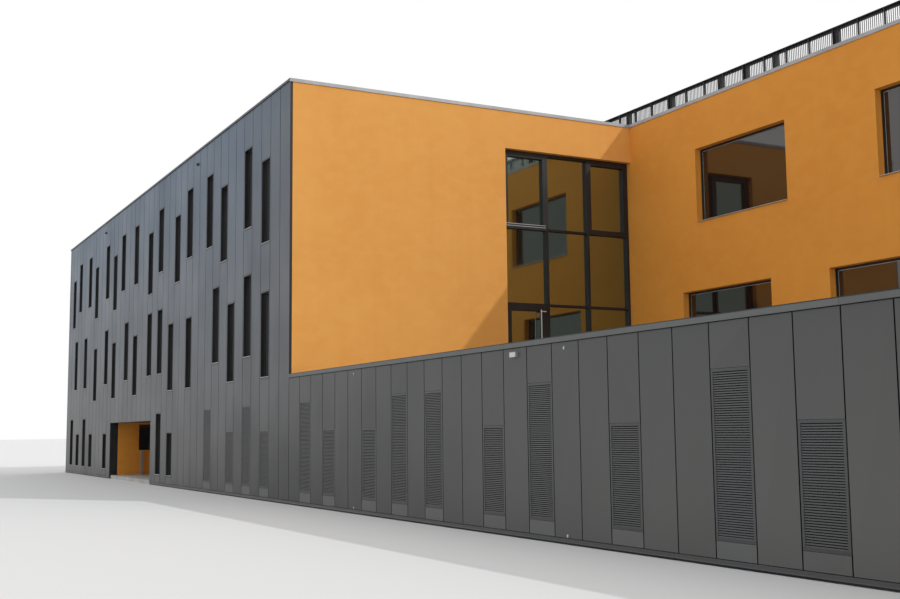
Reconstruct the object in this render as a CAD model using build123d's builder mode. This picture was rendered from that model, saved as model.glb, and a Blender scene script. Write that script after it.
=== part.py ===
"""Factory building with an L-shaped front, a podium terrace and a rear wing.

The model is half the size of the real building, and every length below is the model's own,
in millimetres. X runs along the front from left to right, Y runs from the front to the rear,
and Z is up. The origin is at the middle of the footprint, at ground level.
"""
from build123d import *
import os

os.makedirs("parts", exist_ok=True)

# Plan
panel_pitch = 450           # one upright wall panel with its joint
left_panels = 41            # whole panels on the tall block's front
left_trim = 140             # narrower panel at the far left corner
podium_panels = 31          # panels on the podium's front
setback = 6405              # from the front to the terrace's back wall
wing_depth = 5400           # from the terrace's back wall to the rear

# Heights above the ground
plinth_height = 60
ground_floor_level = 80
ground_storey = 1755
storey_height = 2150
parapet_height = 335        # from the roof deck to the top of the copings
podium_parapet = 87         # from the terrace to the top of the podium's coping

# Walls, floors and skins
panel_depth = 40
panel_joint = 12
coping_gap = 6              # open slot over the panels, under the coping
wall_thickness = 150
render_wall = 190
floor_thickness = 150
dark_coping_height = 36
pale_coping_height = 54
podium_coping_height = 56
coping_overhang = 14
coping_joint = 2
coping_panels = 6           # panels under one length of coping
paving_thickness = 10

# Slot windows and louvres
slot_width = 390
slot_height = 1350
surround_face = 24
surround_gap = 2            # between a surround and the panels over and under it
low_sill_height = 90        # above the floor
sill_step = 375             # from the low windows' sills to the high ones'
ground_sill_level = 218
tall_slot_height = 1257
short_slot_height = 854
glass_setback = 80
glass_thickness = 14
sill_thickness = 8
sill_projection = 22
slot_sill_projection = 6

# Louvre blades, every second one of the real louvre, so twice its pitch of 18.75
blade_pitch = 37.5
blade_lip = 11
blade_reach = 30
blade_rise = 24
blade_setback = 4
blade_clearance = 0.3

# Entrance porch
porch_first_panel = -28
porch_end_panel = -19
porch_depth = 1350
porch_head = 1340
porch_wall = 100
porch_ceiling_thickness = 40
porch_window_sill = 672
porch_window_height = 628
porch_window_width = 540
porch_window_start = 700    # from the front to the window's near edge
porch_post_width = 54
porch_post_inset = 120

# Glazed screens
screen_width = 2590
screen_height = 3946
screen_setback = 100
screen_bar = 46
screen_bar_depth = 90
screen_bays = 3
screen_rows = 3
entrance_width = 2100
screen_transom = 34
screen_glass_setback = 56   # from the bars' face to the glass
sash_face = 54
door_stile = 88
pull_bar_width = 14
pull_bar_length = 900
pull_bar_standoff = 30
pull_bar_height = 294       # from the door's foot to the bar's lower end
pull_bar_inset = 63         # from the stile's edge to the bar, over the glass

# Windows of the terrace's back wall
wide_window_width = 2050
wide_window_height = 1224
upper_sill_height = 427     # above the second floor
lower_sill_height = 233     # above the terrace
upper_window_start = 1765   # from the terrace's inner corner to the first window's edge
upper_window_pitch = 3770
upper_windows = 3
lower_window_start = 1350
lower_window_pitch = 3218
lower_windows = 4
reveal_step_depth = 75
reveal_step = 8
wide_glass_setback = 130
window_frame_face = 30
window_frame_depth = 40

# Roof railing
railing_post_pitch = 473
railing_post_width = 16
railing_post_depth = 30
railing_inset = 32          # from the inner face of the parapet to the railing's middle
railing_lead = 1510         # from the terrace's inner corner to the first post, on the left
railing_height = 349        # above the copings
handrail_height = 14
handrail_depth = 44
frame_post_pitch = 1253
frame_lead = 1585           # from the inner corner to the first frame post, on the left
extra_frame_post = 2770     # from the inner corner, to the right
frame_post_width = 116
frame_post_depth = 40
frame_beam_height = 28

# Small fittings
spout_width = 50
spout_wall = 6
spout_length = 30
spout_height = 54           # above the roof deck
spout_places = (-13590, -5108)
lamp_panel = 14
lamp_width = 116
lamp_height = 50
lamp_depth = 28
lamp_drop = 125             # from the podium's top to the lamp's middle

# Panels that hold windows and louvres, counted along the front from the terrace corner
upper_high = (-5, -10, -13, -18, -23, -26, -30, -35, -38)
upper_low = (-3, -8, -15, -20, -28, -33, -40)
middle_high = (-5, -9, -18, -20, -25, -30, -36, -39)
middle_low = (-3, -7, -13, -16, -23, -28, -33)
ground_tall = (-40, -36, -18)
ground_short = (-38, -34, -30, -16)
louvre_tall = (-10, -5, 1, 8, 10, 15, 21)
louvre_short = (-7, -3, 3, 6, 13, 18, 23)
rear_high = (-37, -17, 3, 23)
rear_low = (-27, -7, 13)
rear_ground = (-22, 18)
end_high = (5,)
end_low = (15,)

# Places that follow from the sizes above
left_length = left_panels * panel_pitch + left_trim
length = left_length + podium_panels * panel_pitch
depth = setback + wing_depth
west_x = -length / 2
east_x = length / 2
corner_x = west_x + left_length
front_y = -depth / 2
terrace_y = front_y + setback
rear_y = depth / 2
first_floor = ground_floor_level + ground_storey
second_floor = first_floor + storey_height
roof_level = second_floor + storey_height
coping_top = roof_level + parapet_height
clad_top = coping_top - dark_coping_height
render_top = coping_top - pale_coping_height
podium_top = first_floor + podium_parapet
podium_clad_top = podium_top - podium_coping_height
clad_wall = panel_depth + wall_thickness
inner_west = west_x + clad_wall
inner_east = east_x - clad_wall
inner_front = front_y + clad_wall
inner_rear = rear_y - clad_wall
porch_left = corner_x + porch_first_panel * panel_pitch
porch_right = corner_x + porch_end_panel * panel_pitch

# Elevations, each with its own X to the right and Y up, seen from outside
front = Plane.XZ.offset(-front_y)
rear = Plane(origin=(0, rear_y, 0), x_dir=(-1, 0, 0), z_dir=(0, 1, 0))
west_end = Plane(origin=(west_x, 0, 0), x_dir=(0, -1, 0), z_dir=(-1, 0, 0))
east_end = Plane(origin=(east_x, 0, 0), x_dir=(0, 1, 0), z_dir=(1, 0, 0))
terrace_side = Plane(origin=(corner_x, 0, 0), x_dir=(0, 1, 0), z_dir=(1, 0, 0))
terrace_back = Plane.XZ.offset(-terrace_y)


def front_place(panel):
    """Middle of a front panel, along the front."""
    return corner_x + (panel + 0.5) * panel_pitch


def rear_place(panel):
    """Middle of a rear panel, along the rear elevation."""
    return -front_place(panel)


def end_place(panel):
    """Middle of an end panel counted from the rear, along Y."""
    return rear_y - (panel + 0.5) * panel_pitch


def slots(places, sill, height):
    """Slot openings as their middle, their sill and their height."""
    return [(place, sill, height) for place in places]


def storey_slots(place, high, low, floor):
    """High and low slot windows of one storey."""
    low_sill = floor + low_sill_height
    high_ones = slots([place(panel) for panel in high], low_sill + sill_step, slot_height)
    return high_ones + slots([place(panel) for panel in low], low_sill, slot_height)


front_upper_slots = storey_slots(front_place, upper_high, upper_low, second_floor)
front_upper_slots += storey_slots(front_place, middle_high, middle_low, first_floor)
front_ground_slots = slots([front_place(n) for n in ground_tall], ground_sill_level, tall_slot_height)
front_ground_slots += slots([front_place(n) for n in ground_short], ground_sill_level, short_slot_height)
front_louvres = slots([front_place(n) for n in louvre_tall], ground_sill_level, tall_slot_height)
front_louvres += slots([front_place(n) for n in louvre_short], ground_sill_level, short_slot_height)
rear_slots = storey_slots(rear_place, rear_high, rear_low, second_floor)
rear_slots += storey_slots(rear_place, rear_high, rear_low, first_floor)
rear_slots += slots([rear_place(n) for n in rear_ground], ground_sill_level, short_slot_height)
west_slots = storey_slots(lambda n: -end_place(n), end_high, end_low, second_floor)
west_slots += storey_slots(lambda n: -end_place(n), end_high, end_low, first_floor)
east_slots = storey_slots(end_place, end_high, (), second_floor)
east_slots += storey_slots(end_place, end_high, (), first_floor)


def spans(joints, start, end):
    """Stretches between upright joints, cut off at the two ends of a wall."""
    edges = [start] + sorted(joint for joint in joints if start < joint < end) + [end]
    return list(zip(edges, edges[1:]))


def panels(stretches, bottom, top, openings):
    """Panels as middle, middle height, width and height, left out where an opening is."""
    pieces = []
    for left, right in stretches:
        middle = (left + right) / 2
        level = bottom
        for low, high in sorted(cut[2:] for cut in openings if cut[0] < middle < cut[1]):
            pieces.append((left, right, level, low))
            level = high
        pieces.append((left, right, level, top))
    return [
        ((left + right) / 2, (low + high) / 2, right - left - panel_joint, high - low)
        for left, right, low, high in pieces
        if high - low > panel_joint and right - left > panel_joint
    ]


half_panel = panel_pitch / 2
surround_margin = surround_face + surround_gap


def panel_cuts(openings):
    """Space that each slot and its surround take out of the panels."""
    return [
        (x - half_panel, x + half_panel, sill - surround_margin, sill + height + surround_margin)
        for x, sill, height in openings
    ]


def base_cuts(openings):
    """Space that each ground opening and the paler panel under it take out of the panels."""
    return [
        (x - half_panel, x + half_panel, plinth_height, sill + height + surround_margin)
        for x, sill, height in openings
    ]


# Floors
with BuildPart() as ground_slab:
    with BuildSketch():
        Rectangle(length - 2 * panel_depth, depth - 2 * panel_depth)
    extrude(amount=ground_floor_level)
ground_slab.part.label = "ground_slab"
export_step(ground_slab.part, "parts/ground_slab.step")

with BuildPart() as first_floor_slab:
    with BuildSketch(Plane.XY.offset(first_floor)):
        Rectangle(length - 2 * clad_wall, depth - 2 * clad_wall)
    extrude(amount=-floor_thickness)
first_floor_slab.part.label = "first_floor_slab"
export_step(first_floor_slab.part, "parts/first_floor_slab.step")

front_bay = ((inner_west + corner_x - render_wall) / 2, (inner_front + terrace_y + render_wall) / 2)
front_bay_size = (corner_x - render_wall - inner_west, terrace_y + render_wall - inner_front)
rear_bay = ((inner_west + inner_east) / 2, (terrace_y + render_wall + inner_rear) / 2)
rear_bay_size = (inner_east - inner_west, inner_rear - terrace_y - render_wall)

with BuildPart() as second_floor_front:
    with BuildSketch(Plane.XY.offset(second_floor)):
        with Locations(front_bay):
            Rectangle(*front_bay_size)
    extrude(amount=-floor_thickness)
second_floor_front.part.label = "second_floor_front"
export_step(second_floor_front.part, "parts/second_floor_front.step")

with BuildPart() as second_floor_rear:
    with BuildSketch(Plane.XY.offset(second_floor)):
        with Locations(rear_bay):
            Rectangle(*rear_bay_size)
    extrude(amount=-floor_thickness)
second_floor_rear.part.label = "second_floor_rear"
export_step(second_floor_rear.part, "parts/second_floor_rear.step")

with BuildPart() as roof_deck_front:
    with BuildSketch(Plane.XY.offset(roof_level)):
        with Locations(front_bay):
            Rectangle(*front_bay_size)
    extrude(amount=-floor_thickness)
roof_deck_front.part.label = "roof_deck_front"
export_step(roof_deck_front.part, "parts/roof_deck_front.step")

with BuildPart() as roof_deck_rear:
    with BuildSketch(Plane.XY.offset(roof_level)):
        with Locations(rear_bay):
            Rectangle(*rear_bay_size)
    extrude(amount=-floor_thickness)
roof_deck_rear.part.label = "roof_deck_rear"
export_step(roof_deck_rear.part, "parts/roof_deck_rear.step")


def upright(start, end, bottom, top):
    """Middle and size of a plain rectangle on an elevation."""
    return ((start + end) / 2, (bottom + top) / 2), (end - start, top - bottom)


# Front walls
wall_rows = {
    "front_wall_left": (west_x + panel_depth, porch_left, ground_floor_level, first_floor),
    "front_wall_right": (porch_right, corner_x, ground_floor_level, first_floor),
    "front_wall_over_porch": (porch_left, porch_right, porch_head, first_floor),
    "podium_front_wall": (corner_x, east_x - panel_depth, ground_floor_level, podium_clad_top),
    "front_wall_upper": (west_x + panel_depth, corner_x - render_wall, first_floor, clad_top),
}
for name, (start, end, bottom, top) in wall_rows.items():
    middle, size = upright(start, end, bottom, top)
    with BuildPart() as front_wall:
        with BuildSketch(front.offset(-panel_depth)):
            with Locations(middle):
                Rectangle(*size)
            for x, sill, height in front_upper_slots + front_ground_slots + front_louvres:
                if start < x < end and bottom < sill < top:
                    with Locations((x, sill + height / 2)):
                        Rectangle(slot_width, height, mode=Mode.SUBTRACT)
        extrude(amount=-wall_thickness)
    front_wall.part.label = name
    export_step(front_wall.part, f"parts/{name}.step")

# Rear and end walls
middle, size = upright(panel_depth - east_x, -west_x - panel_depth, ground_floor_level, clad_top)
with BuildPart() as rear_wall:
    with BuildSketch(rear.offset(-panel_depth)):
        with Locations(middle):
            Rectangle(*size)
        for x, sill, height in rear_slots:
            with Locations((x, sill + height / 2)):
                Rectangle(slot_width, height, mode=Mode.SUBTRACT)
    extrude(amount=-wall_thickness)
rear_wall.part.label = "rear_wall"
export_step(rear_wall.part, "parts/rear_wall.step")

middle, size = upright(-inner_rear, -inner_front, ground_floor_level, clad_top)
with BuildPart() as west_wall:
    with BuildSketch(west_end.offset(-panel_depth)):
        with Locations(middle):
            Rectangle(*size)
        for x, sill, height in west_slots:
            with Locations((x, sill + height / 2)):
                Rectangle(slot_width, height, mode=Mode.SUBTRACT)
    extrude(amount=-wall_thickness)
west_wall.part.label = "west_wall"
export_step(west_wall.part, "parts/west_wall.step")

middle, size = upright(inner_front, terrace_y, ground_floor_level, podium_clad_top)
with BuildPart() as east_podium_wall:
    with BuildSketch(east_end.offset(-panel_depth)):
        with Locations(middle):
            Rectangle(*size)
    extrude(amount=-wall_thickness)
east_podium_wall.part.label = "east_podium_wall"
export_step(east_podium_wall.part, "parts/east_podium_wall.step")

with BuildPart() as east_wing_wall:
    with BuildSketch(east_end.offset(-panel_depth)):
        with BuildLine():
            Polyline(
                (terrace_y, ground_floor_level),
                (inner_rear, ground_floor_level),
                (inner_rear, clad_top),
                (terrace_y + render_wall, clad_top),
                (terrace_y + render_wall, first_floor),
                (terrace_y, first_floor),
                close=True,
            )
        make_face()
        for x, sill, height in east_slots:
            with Locations((x, sill + height / 2)):
                Rectangle(slot_width, height, mode=Mode.SUBTRACT)
    extrude(amount=-wall_thickness)
east_wing_wall.part.label = "east_wing_wall"
export_step(east_wing_wall.part, "parts/east_wing_wall.step")

# Rendered walls round the terrace
screen_start = terrace_y - screen_width
middle, size = upright(front_y + panel_depth, screen_start, first_floor, render_top)
with BuildPart() as terrace_side_wall:
    with BuildSketch(terrace_side):
        with Locations(middle):
            Rectangle(*size)
    extrude(amount=-render_wall)
terrace_side_wall.part.label = "terrace_side_wall"
export_step(terrace_side_wall.part, "parts/terrace_side_wall.step")

middle, size = upright(screen_start, terrace_y, first_floor + screen_height, render_top)
with BuildPart() as terrace_screen_lintel:
    with BuildSketch(terrace_side):
        with Locations(middle):
            Rectangle(*size)
    extrude(amount=-render_wall)
terrace_screen_lintel.part.label = "terrace_screen_lintel"
export_step(terrace_screen_lintel.part, "parts/terrace_screen_lintel.step")

upper_starts = [upper_window_start + upper_window_pitch * n for n in range(upper_windows)]
lower_starts = [lower_window_start + lower_window_pitch * n for n in range(lower_windows)]
wide_windows = [
    (corner_x + start + wide_window_width / 2, second_floor + upper_sill_height) for start in upper_starts
]
wide_windows += [
    (corner_x + start + wide_window_width / 2, first_floor + lower_sill_height) for start in lower_starts
]
wide_places = [(x, sill + wide_window_height / 2) for x, sill in wide_windows]

middle, size = upright(corner_x - render_wall, east_x - panel_depth, first_floor, render_top)
with BuildPart() as terrace_back_wall:
    with BuildSketch(terrace_back):
        with Locations(middle):
            Rectangle(*size)
    extrude(amount=-render_wall)
    with BuildSketch(terrace_back):
        with Locations(*wide_places):
            Rectangle(wide_window_width, wide_window_height)
    extrude(amount=-reveal_step_depth, mode=Mode.SUBTRACT)
    with BuildSketch(terrace_back):
        with Locations(*wide_places):
            Rectangle(wide_window_width - 2 * reveal_step, wide_window_height - reveal_step)
    extrude(amount=-render_wall, mode=Mode.SUBTRACT)
terrace_back_wall.part.label = "terrace_back_wall"
export_step(terrace_back_wall.part, "parts/terrace_back_wall.step")

# Entrance porch
porch_back = front_y + porch_depth
side_middle, side_size = upright(inner_front, porch_back, ground_floor_level, first_floor - floor_thickness)
porch_window = (
    front_y + porch_window_start + porch_window_width / 2,
    porch_window_sill + porch_window_height / 2,
)
with BuildPart() as porch_side_walls:
    with BuildSketch(Plane.YZ.offset(porch_left)):
        with Locations(side_middle):
            Rectangle(*side_size)
        with Locations(porch_window):
            Rectangle(porch_window_width, porch_window_height, mode=Mode.SUBTRACT)
    extrude(amount=-porch_wall)
    with BuildSketch(Plane.YZ.offset(porch_right)):
        with Locations(side_middle):
            Rectangle(*side_size)
    extrude(amount=porch_wall)
porch_side_walls.part.label = "porch_side_walls"
export_step(porch_side_walls.part, "parts/porch_side_walls.step")

entrance_height = porch_head - ground_floor_level - 2 * screen_bar
entrance_middle = ((porch_left + porch_right) / 2, ground_floor_level + entrance_height / 2)
middle, size = upright(
    porch_left - porch_wall, porch_right + porch_wall, ground_floor_level, first_floor - floor_thickness
)
with BuildPart() as porch_back_wall:
    with BuildSketch(Plane.XZ.offset(-porch_back)):
        with Locations(middle):
            Rectangle(*size)
        with Locations(entrance_middle):
            Rectangle(entrance_width, entrance_height, mode=Mode.SUBTRACT)
    extrude(amount=-porch_wall)
porch_back_wall.part.label = "porch_back_wall"
export_step(porch_back_wall.part, "parts/porch_back_wall.step")

with BuildPart() as porch_ceiling:
    with BuildSketch(Plane.XY.offset(porch_head)):
        with Locations(((porch_left + porch_right) / 2, (inner_front + porch_back) / 2)):
            Rectangle(porch_right - porch_left, porch_back - inner_front)
    extrude(amount=porch_ceiling_thickness)
porch_ceiling.part.label = "porch_ceiling"
export_step(porch_ceiling.part, "parts/porch_ceiling.step")

with BuildPart() as porch_post:
    with BuildSketch(Plane.XY.offset(ground_floor_level)):
        with Locations((porch_left + porch_post_inset, front_y + porch_window_start + porch_post_width)):
            Rectangle(porch_post_width, porch_post_width)
    extrude(amount=porch_window_sill - ground_floor_level)
porch_post.part.label = "porch_post"
export_step(porch_post.part, "parts/porch_post.step")

# Glazed entrance screen at the back of the porch
entrance_pane = (entrance_width - (screen_bays + 1) * screen_bar) / screen_bays
entrance_pane_height = entrance_height - 2 * screen_bar
with BuildPart() as entrance_screen:
    with BuildSketch(Plane.XZ.offset(-porch_back)):
        with Locations(entrance_middle):
            Rectangle(entrance_width, entrance_height)
            with GridLocations(entrance_pane + screen_bar, 1, screen_bays, 1):
                Rectangle(entrance_pane, entrance_pane_height, mode=Mode.SUBTRACT)
    extrude(amount=-screen_bar_depth)
entrance_screen.part.label = "entrance_screen"
export_step(entrance_screen.part, "parts/entrance_screen.step")

with BuildPart() as porch_glass:
    with BuildSketch(Plane.XZ.offset(-porch_back - screen_glass_setback)):
        with Locations(entrance_middle):
            with GridLocations(entrance_pane + screen_bar, 1, screen_bays, 1):
                Rectangle(entrance_pane, entrance_pane_height)
    extrude(amount=-glass_thickness)
    with BuildSketch(Plane.YZ.offset(porch_left - porch_wall / 2)):
        with Locations(porch_window):
            Rectangle(porch_window_width, porch_window_height)
    extrude(amount=glass_thickness)
porch_glass.part.label = "porch_glass"
export_step(porch_glass.part, "parts/porch_glass.step")

# Glazed screen in the terrace's side wall
pane_width = (screen_width - (screen_bays + 1) * screen_bar) / screen_bays
pane_height = (screen_height - 2 * screen_bar - (screen_rows - 1) * screen_transom) / screen_rows
screen_middle = (screen_start + screen_width / 2, first_floor + screen_height / 2)


def pane_place(column, row):
    """Middle of one pane of the terrace screen, counted from its lower front corner."""
    along = screen_start + screen_bar + pane_width / 2 + column * (pane_width + screen_bar)
    up = first_floor + screen_bar + pane_height / 2 + row * (pane_height + screen_transom)
    return along, up


door_pane = (0, 0)
sash_panes = [(0, screen_rows - 1), (screen_bays - 1, screen_rows - 1)]
fixed_panes = [
    (column, row)
    for column in range(screen_bays)
    for row in range(screen_rows)
    if (column, row) != door_pane and (column, row) not in sash_panes
]
screen_face = terrace_side.offset(-screen_setback)
glass_face = screen_face.offset(-screen_glass_setback)

with BuildPart() as terrace_screen:
    with BuildSketch(screen_face):
        with Locations(screen_middle):
            Rectangle(screen_width, screen_height)
        with Locations(*[pane_place(*pane) for pane in fixed_panes + sash_panes + [door_pane]]):
            Rectangle(pane_width, pane_height, mode=Mode.SUBTRACT)
    extrude(amount=-screen_bar_depth)
terrace_screen.part.label = "terrace_screen"
export_step(terrace_screen.part, "parts/terrace_screen.step")

with BuildPart() as terrace_screen_sashes:
    with BuildSketch(screen_face):
        with Locations(*[pane_place(*pane) for pane in sash_panes]):
            Rectangle(pane_width, pane_height)
            Rectangle(pane_width - 2 * sash_face, pane_height - 2 * sash_face, mode=Mode.SUBTRACT)
    extrude(amount=-screen_bar_depth)
terrace_screen_sashes.part.label = "terrace_screen_sashes"
export_step(terrace_screen_sashes.part, "parts/terrace_screen_sashes.step")

with BuildPart() as terrace_screen_glass:
    with BuildSketch(glass_face):
        with Locations(*[pane_place(*pane) for pane in fixed_panes]):
            Rectangle(pane_width, pane_height)
        with Locations(*[pane_place(*pane) for pane in sash_panes]):
            Rectangle(pane_width - 2 * sash_face, pane_height - 2 * sash_face)
    extrude(amount=-glass_thickness)
terrace_screen_glass.part.label = "terrace_screen_glass"
export_step(terrace_screen_glass.part, "parts/terrace_screen_glass.step")

with BuildPart() as terrace_door:
    with BuildSketch(screen_face):
        with Locations(pane_place(*door_pane)):
            Rectangle(pane_width, pane_height)
            Rectangle(pane_width - 2 * door_stile, pane_height - 2 * door_stile, mode=Mode.SUBTRACT)
    extrude(amount=-screen_bar_depth)
terrace_door.part.label = "terrace_door"
export_step(terrace_door.part, "parts/terrace_door.step")

with BuildPart() as terrace_door_glass:
    with BuildSketch(glass_face):
        with Locations(pane_place(*door_pane)):
            Rectangle(pane_width - 2 * door_stile, pane_height - 2 * door_stile)
    extrude(amount=-glass_thickness)
terrace_door_glass.part.label = "terrace_door_glass"
export_step(terrace_door_glass.part, "parts/terrace_door_glass.step")

stile_edge = pane_place(*door_pane)[0] + pane_width / 2 - door_stile
pull_along = stile_edge - pull_bar_inset
pull_middle = first_floor + screen_bar + pull_bar_height + pull_bar_length / 2
bracket_length = pull_bar_inset + door_stile / 2
with BuildPart() as door_pull_bar:
    with BuildSketch(screen_face.offset(pull_bar_standoff)):
        with Locations((pull_along, pull_middle)):
            Rectangle(pull_bar_width, pull_bar_length)
    extrude(amount=pull_bar_width)
    with BuildSketch(screen_face):
        with Locations((pull_along + bracket_length / 2, pull_middle)):
            with GridLocations(1, pull_bar_length - 4 * pull_bar_width, 1, 2):
                Rectangle(bracket_length, pull_bar_width)
    extrude(amount=pull_bar_standoff)
door_pull_bar.part.label = "door_pull_bar"
export_step(door_pull_bar.part, "parts/door_pull_bar.step")

# Wide windows of the terrace's back wall
inner_reveal = (wide_window_width - 2 * reveal_step, wide_window_height - reveal_step)
frame_front = terrace_back.offset(-wide_glass_setback + glass_thickness)
with BuildPart() as terrace_window_frames:
    with BuildSketch(frame_front):
        with Locations(*wide_places):
            Rectangle(*inner_reveal)
            Rectangle(
                inner_reveal[0] - 2 * window_frame_face,
                inner_reveal[1] - 2 * window_frame_face,
                mode=Mode.SUBTRACT,
            )
    extrude(amount=-window_frame_depth)
terrace_window_frames.part.label = "terrace_window_frames"
export_step(terrace_window_frames.part, "parts/terrace_window_frames.step")

with BuildPart() as terrace_window_glass:
    with BuildSketch(terrace_back.offset(-wide_glass_setback)):
        with Locations(*wide_places):
            Rectangle(inner_reveal[0] - 2 * window_frame_face, inner_reveal[1] - 2 * window_frame_face)
    extrude(amount=-glass_thickness)
terrace_window_glass.part.label = "terrace_window_glass"
export_step(terrace_window_glass.part, "parts/terrace_window_glass.step")

sill_depth = wide_glass_setback - glass_thickness + sill_projection
with BuildPart() as terrace_window_sills:
    with BuildSketch(terrace_back.offset(sill_projection)):
        for x, sill in wide_windows:
            with Locations((x, sill + reveal_step / 2 + sill_thickness / 2)):
                Rectangle(inner_reveal[0], sill_thickness)
    extrude(amount=-sill_depth)
terrace_window_sills.part.label = "terrace_window_sills"
export_step(terrace_window_sills.part, "parts/terrace_window_sills.step")

# Slot windows: one set of nodes for the front and one for the rear and the ends
facades = {
    "front": [(front, front_upper_slots + front_ground_slots)],
    "side": [(rear, rear_slots), (west_end, west_slots), (east_end, east_slots)],
}
for name, faces in facades.items():
    with BuildPart() as surrounds:
        for face, openings in faces:
            with BuildSketch(face):
                for x, sill, height in openings:
                    with Locations((x, sill + height / 2)):
                        Rectangle(slot_width + 2 * surround_face, height + 2 * surround_face)
                        Rectangle(slot_width, height, mode=Mode.SUBTRACT)
            extrude(amount=-panel_depth)
    surrounds.part.label = f"{name}_window_surrounds"
    export_step(surrounds.part, f"parts/{name}_window_surrounds.step")

    with BuildPart() as glass:
        for face, openings in faces:
            with BuildSketch(face.offset(-glass_setback)):
                for x, sill, height in openings:
                    with Locations((x, sill + height / 2)):
                        Rectangle(slot_width, height)
            extrude(amount=-glass_thickness)
    glass.part.label = f"{name}_window_glass"
    export_step(glass.part, f"parts/{name}_window_glass.step")

with BuildPart() as front_window_sills:
    with BuildSketch(front.offset(slot_sill_projection)):
        for x, sill, height in front_upper_slots + front_ground_slots:
            with Locations((x, sill + sill_thickness / 2)):
                Rectangle(slot_width, sill_thickness)
    extrude(amount=-glass_setback - slot_sill_projection)
front_window_sills.part.label = "front_window_sills"
export_step(front_window_sills.part, "parts/front_window_sills.step")

with BuildPart() as louvre_frames:
    with BuildSketch(front):
        for x, sill, height in front_louvres:
            with Locations((x, sill + height / 2)):
                Rectangle(slot_width + 2 * surround_face, height + 2 * surround_face)
                Rectangle(slot_width, height, mode=Mode.SUBTRACT)
    extrude(amount=-panel_depth)
louvre_frames.part.label = "louvre_frames"
export_step(louvre_frames.part, "parts/louvre_frames.step")

# Louvre blades: each is a wedge with an upright lip that falls away from the wall
with BuildPart() as louvre_blades:
    for x, sill, height in front_louvres:
        blade_count = int((height - blade_lip - blade_rise) / blade_pitch) + 1
        blade_places = [(front_y + blade_setback, sill + blade_pitch * n) for n in range(blade_count)]
        with BuildSketch(Plane.YZ.offset(x - slot_width / 2 + blade_clearance)):
            with Locations(*blade_places):
                Polygon((0, 0), (0, blade_lip), (blade_reach, blade_lip + blade_rise), align=None)
        extrude(amount=slot_width - 2 * blade_clearance)
louvre_blades.part.label = "louvre_blades"
export_step(louvre_blades.part, "parts/louvre_blades.step")

# Upright wall panels, with open joints between them
panel_top = clad_top - coping_gap
podium_panel_top = podium_clad_top - coping_gap
front_joints = [corner_x + n * panel_pitch for n in range(-left_panels, podium_panels)]
end_joints = [rear_y - n * panel_pitch for n in range(1, int(depth / panel_pitch) + 1)]
left_ground = [slot for slot in front_ground_slots + front_louvres if slot[0] < corner_x]
podium_ground = [slot for slot in front_louvres if slot[0] > corner_x]
rear_ground_slots = [slot for slot in rear_slots if slot[1] == ground_sill_level]
rear_upper_slots = [slot for slot in rear_slots if slot[1] != ground_sill_level]

front_cuts = panel_cuts(front_upper_slots) + base_cuts(left_ground)
front_cuts.append((porch_left, porch_right, plinth_height, porch_head))
rear_stretches = spans([-joint for joint in front_joints], -east_x, -west_x)
rear_cuts = panel_cuts(rear_upper_slots) + base_cuts(rear_ground_slots)
west_stretches = spans([-joint for joint in end_joints], panel_depth - rear_y, -panel_depth - front_y)
podium_end = spans(end_joints, front_y + panel_depth, terrace_y)
wing_end = spans(end_joints, terrace_y, rear_y - panel_depth)
podium_end_panels = panels(podium_end, plinth_height, podium_panel_top, [])
wing_end_panels = panels(wing_end, plinth_height, panel_top, panel_cuts(east_slots))

front_stretches = spans(front_joints, west_x, corner_x)
podium_stretches = spans(front_joints, corner_x, east_x)
podium_pieces = panels(podium_stretches, plinth_height, podium_panel_top, base_cuts(podium_ground))
skins = {
    "front_panels": [(front, panels(front_stretches, plinth_height, panel_top, front_cuts))],
    "podium_panels": [(front, podium_pieces)],
    "rear_panels": [(rear, panels(rear_stretches, plinth_height, panel_top, rear_cuts))],
    "end_panels": [
        (west_end, panels(west_stretches, plinth_height, panel_top, panel_cuts(west_slots))),
        (east_end, podium_end_panels + wing_end_panels),
    ],
}
for name, faces in skins.items():
    with BuildPart() as skin:
        for face, pieces in faces:
            with BuildSketch(face):
                for x, z, width, height in pieces:
                    with Locations((x, z)):
                        Rectangle(width, height)
            extrude(amount=-panel_depth)
    skin.part.label = name
    export_step(skin.part, f"parts/{name}.step")

# Paler panels under the ground openings
base_height = ground_sill_level - surround_margin - plinth_height
with BuildPart() as base_panels:
    for face, openings in ((front, left_ground + podium_ground), (rear, rear_ground_slots)):
        with BuildSketch(face):
            with Locations(*[(x, plinth_height + base_height / 2) for x, sill, height in openings]):
                Rectangle(panel_pitch - panel_joint, base_height)
        extrude(amount=-panel_depth)
base_panels.part.label = "base_panels"
export_step(base_panels.part, "parts/base_panels.step")

# Copings in lengths, with narrow joints
coping_length = coping_panels * panel_pitch
coping_width = clad_wall + 2 * coping_overhang
outer_west = west_x - coping_overhang
outer_east = east_x + coping_overhang
outer_front = front_y - coping_overhang
outer_rear = rear_y + coping_overhang
fascia_x = corner_x + coping_overhang
fascia_y = terrace_y - coping_overhang


def plan(start_x, end_x, start_y, end_y):
    """Middle and size of a plain rectangle seen from above."""
    return ((start_x + end_x) / 2, (start_y + end_y) / 2), (end_x - start_x, end_y - start_y)


def joint_places(start, end):
    """Joints between coping lengths, set out from the start of a wall, with one at its end."""
    count = int((abs(end - start) - coping_width) / coping_length)
    step = coping_length if end > start else -coping_length
    return [start + step * (n + 1) for n in range(count)] + [end]


inner_edge_west = outer_west + coping_width
inner_edge_east = outer_east - coping_width
inner_edge_front = outer_front + coping_width
inner_edge_rear = outer_rear - coping_width
across_x = (coping_joint, coping_width + coping_joint)
across_y = (coping_width + coping_joint, coping_joint)
front_middle = front_y + clad_wall / 2
rear_middle = rear_y - clad_wall / 2
west_middle = west_x + clad_wall / 2
east_middle = east_x - clad_wall / 2
rear_coping_joints = [inner_edge_west] + joint_places(inner_edge_west, inner_edge_east)


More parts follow.
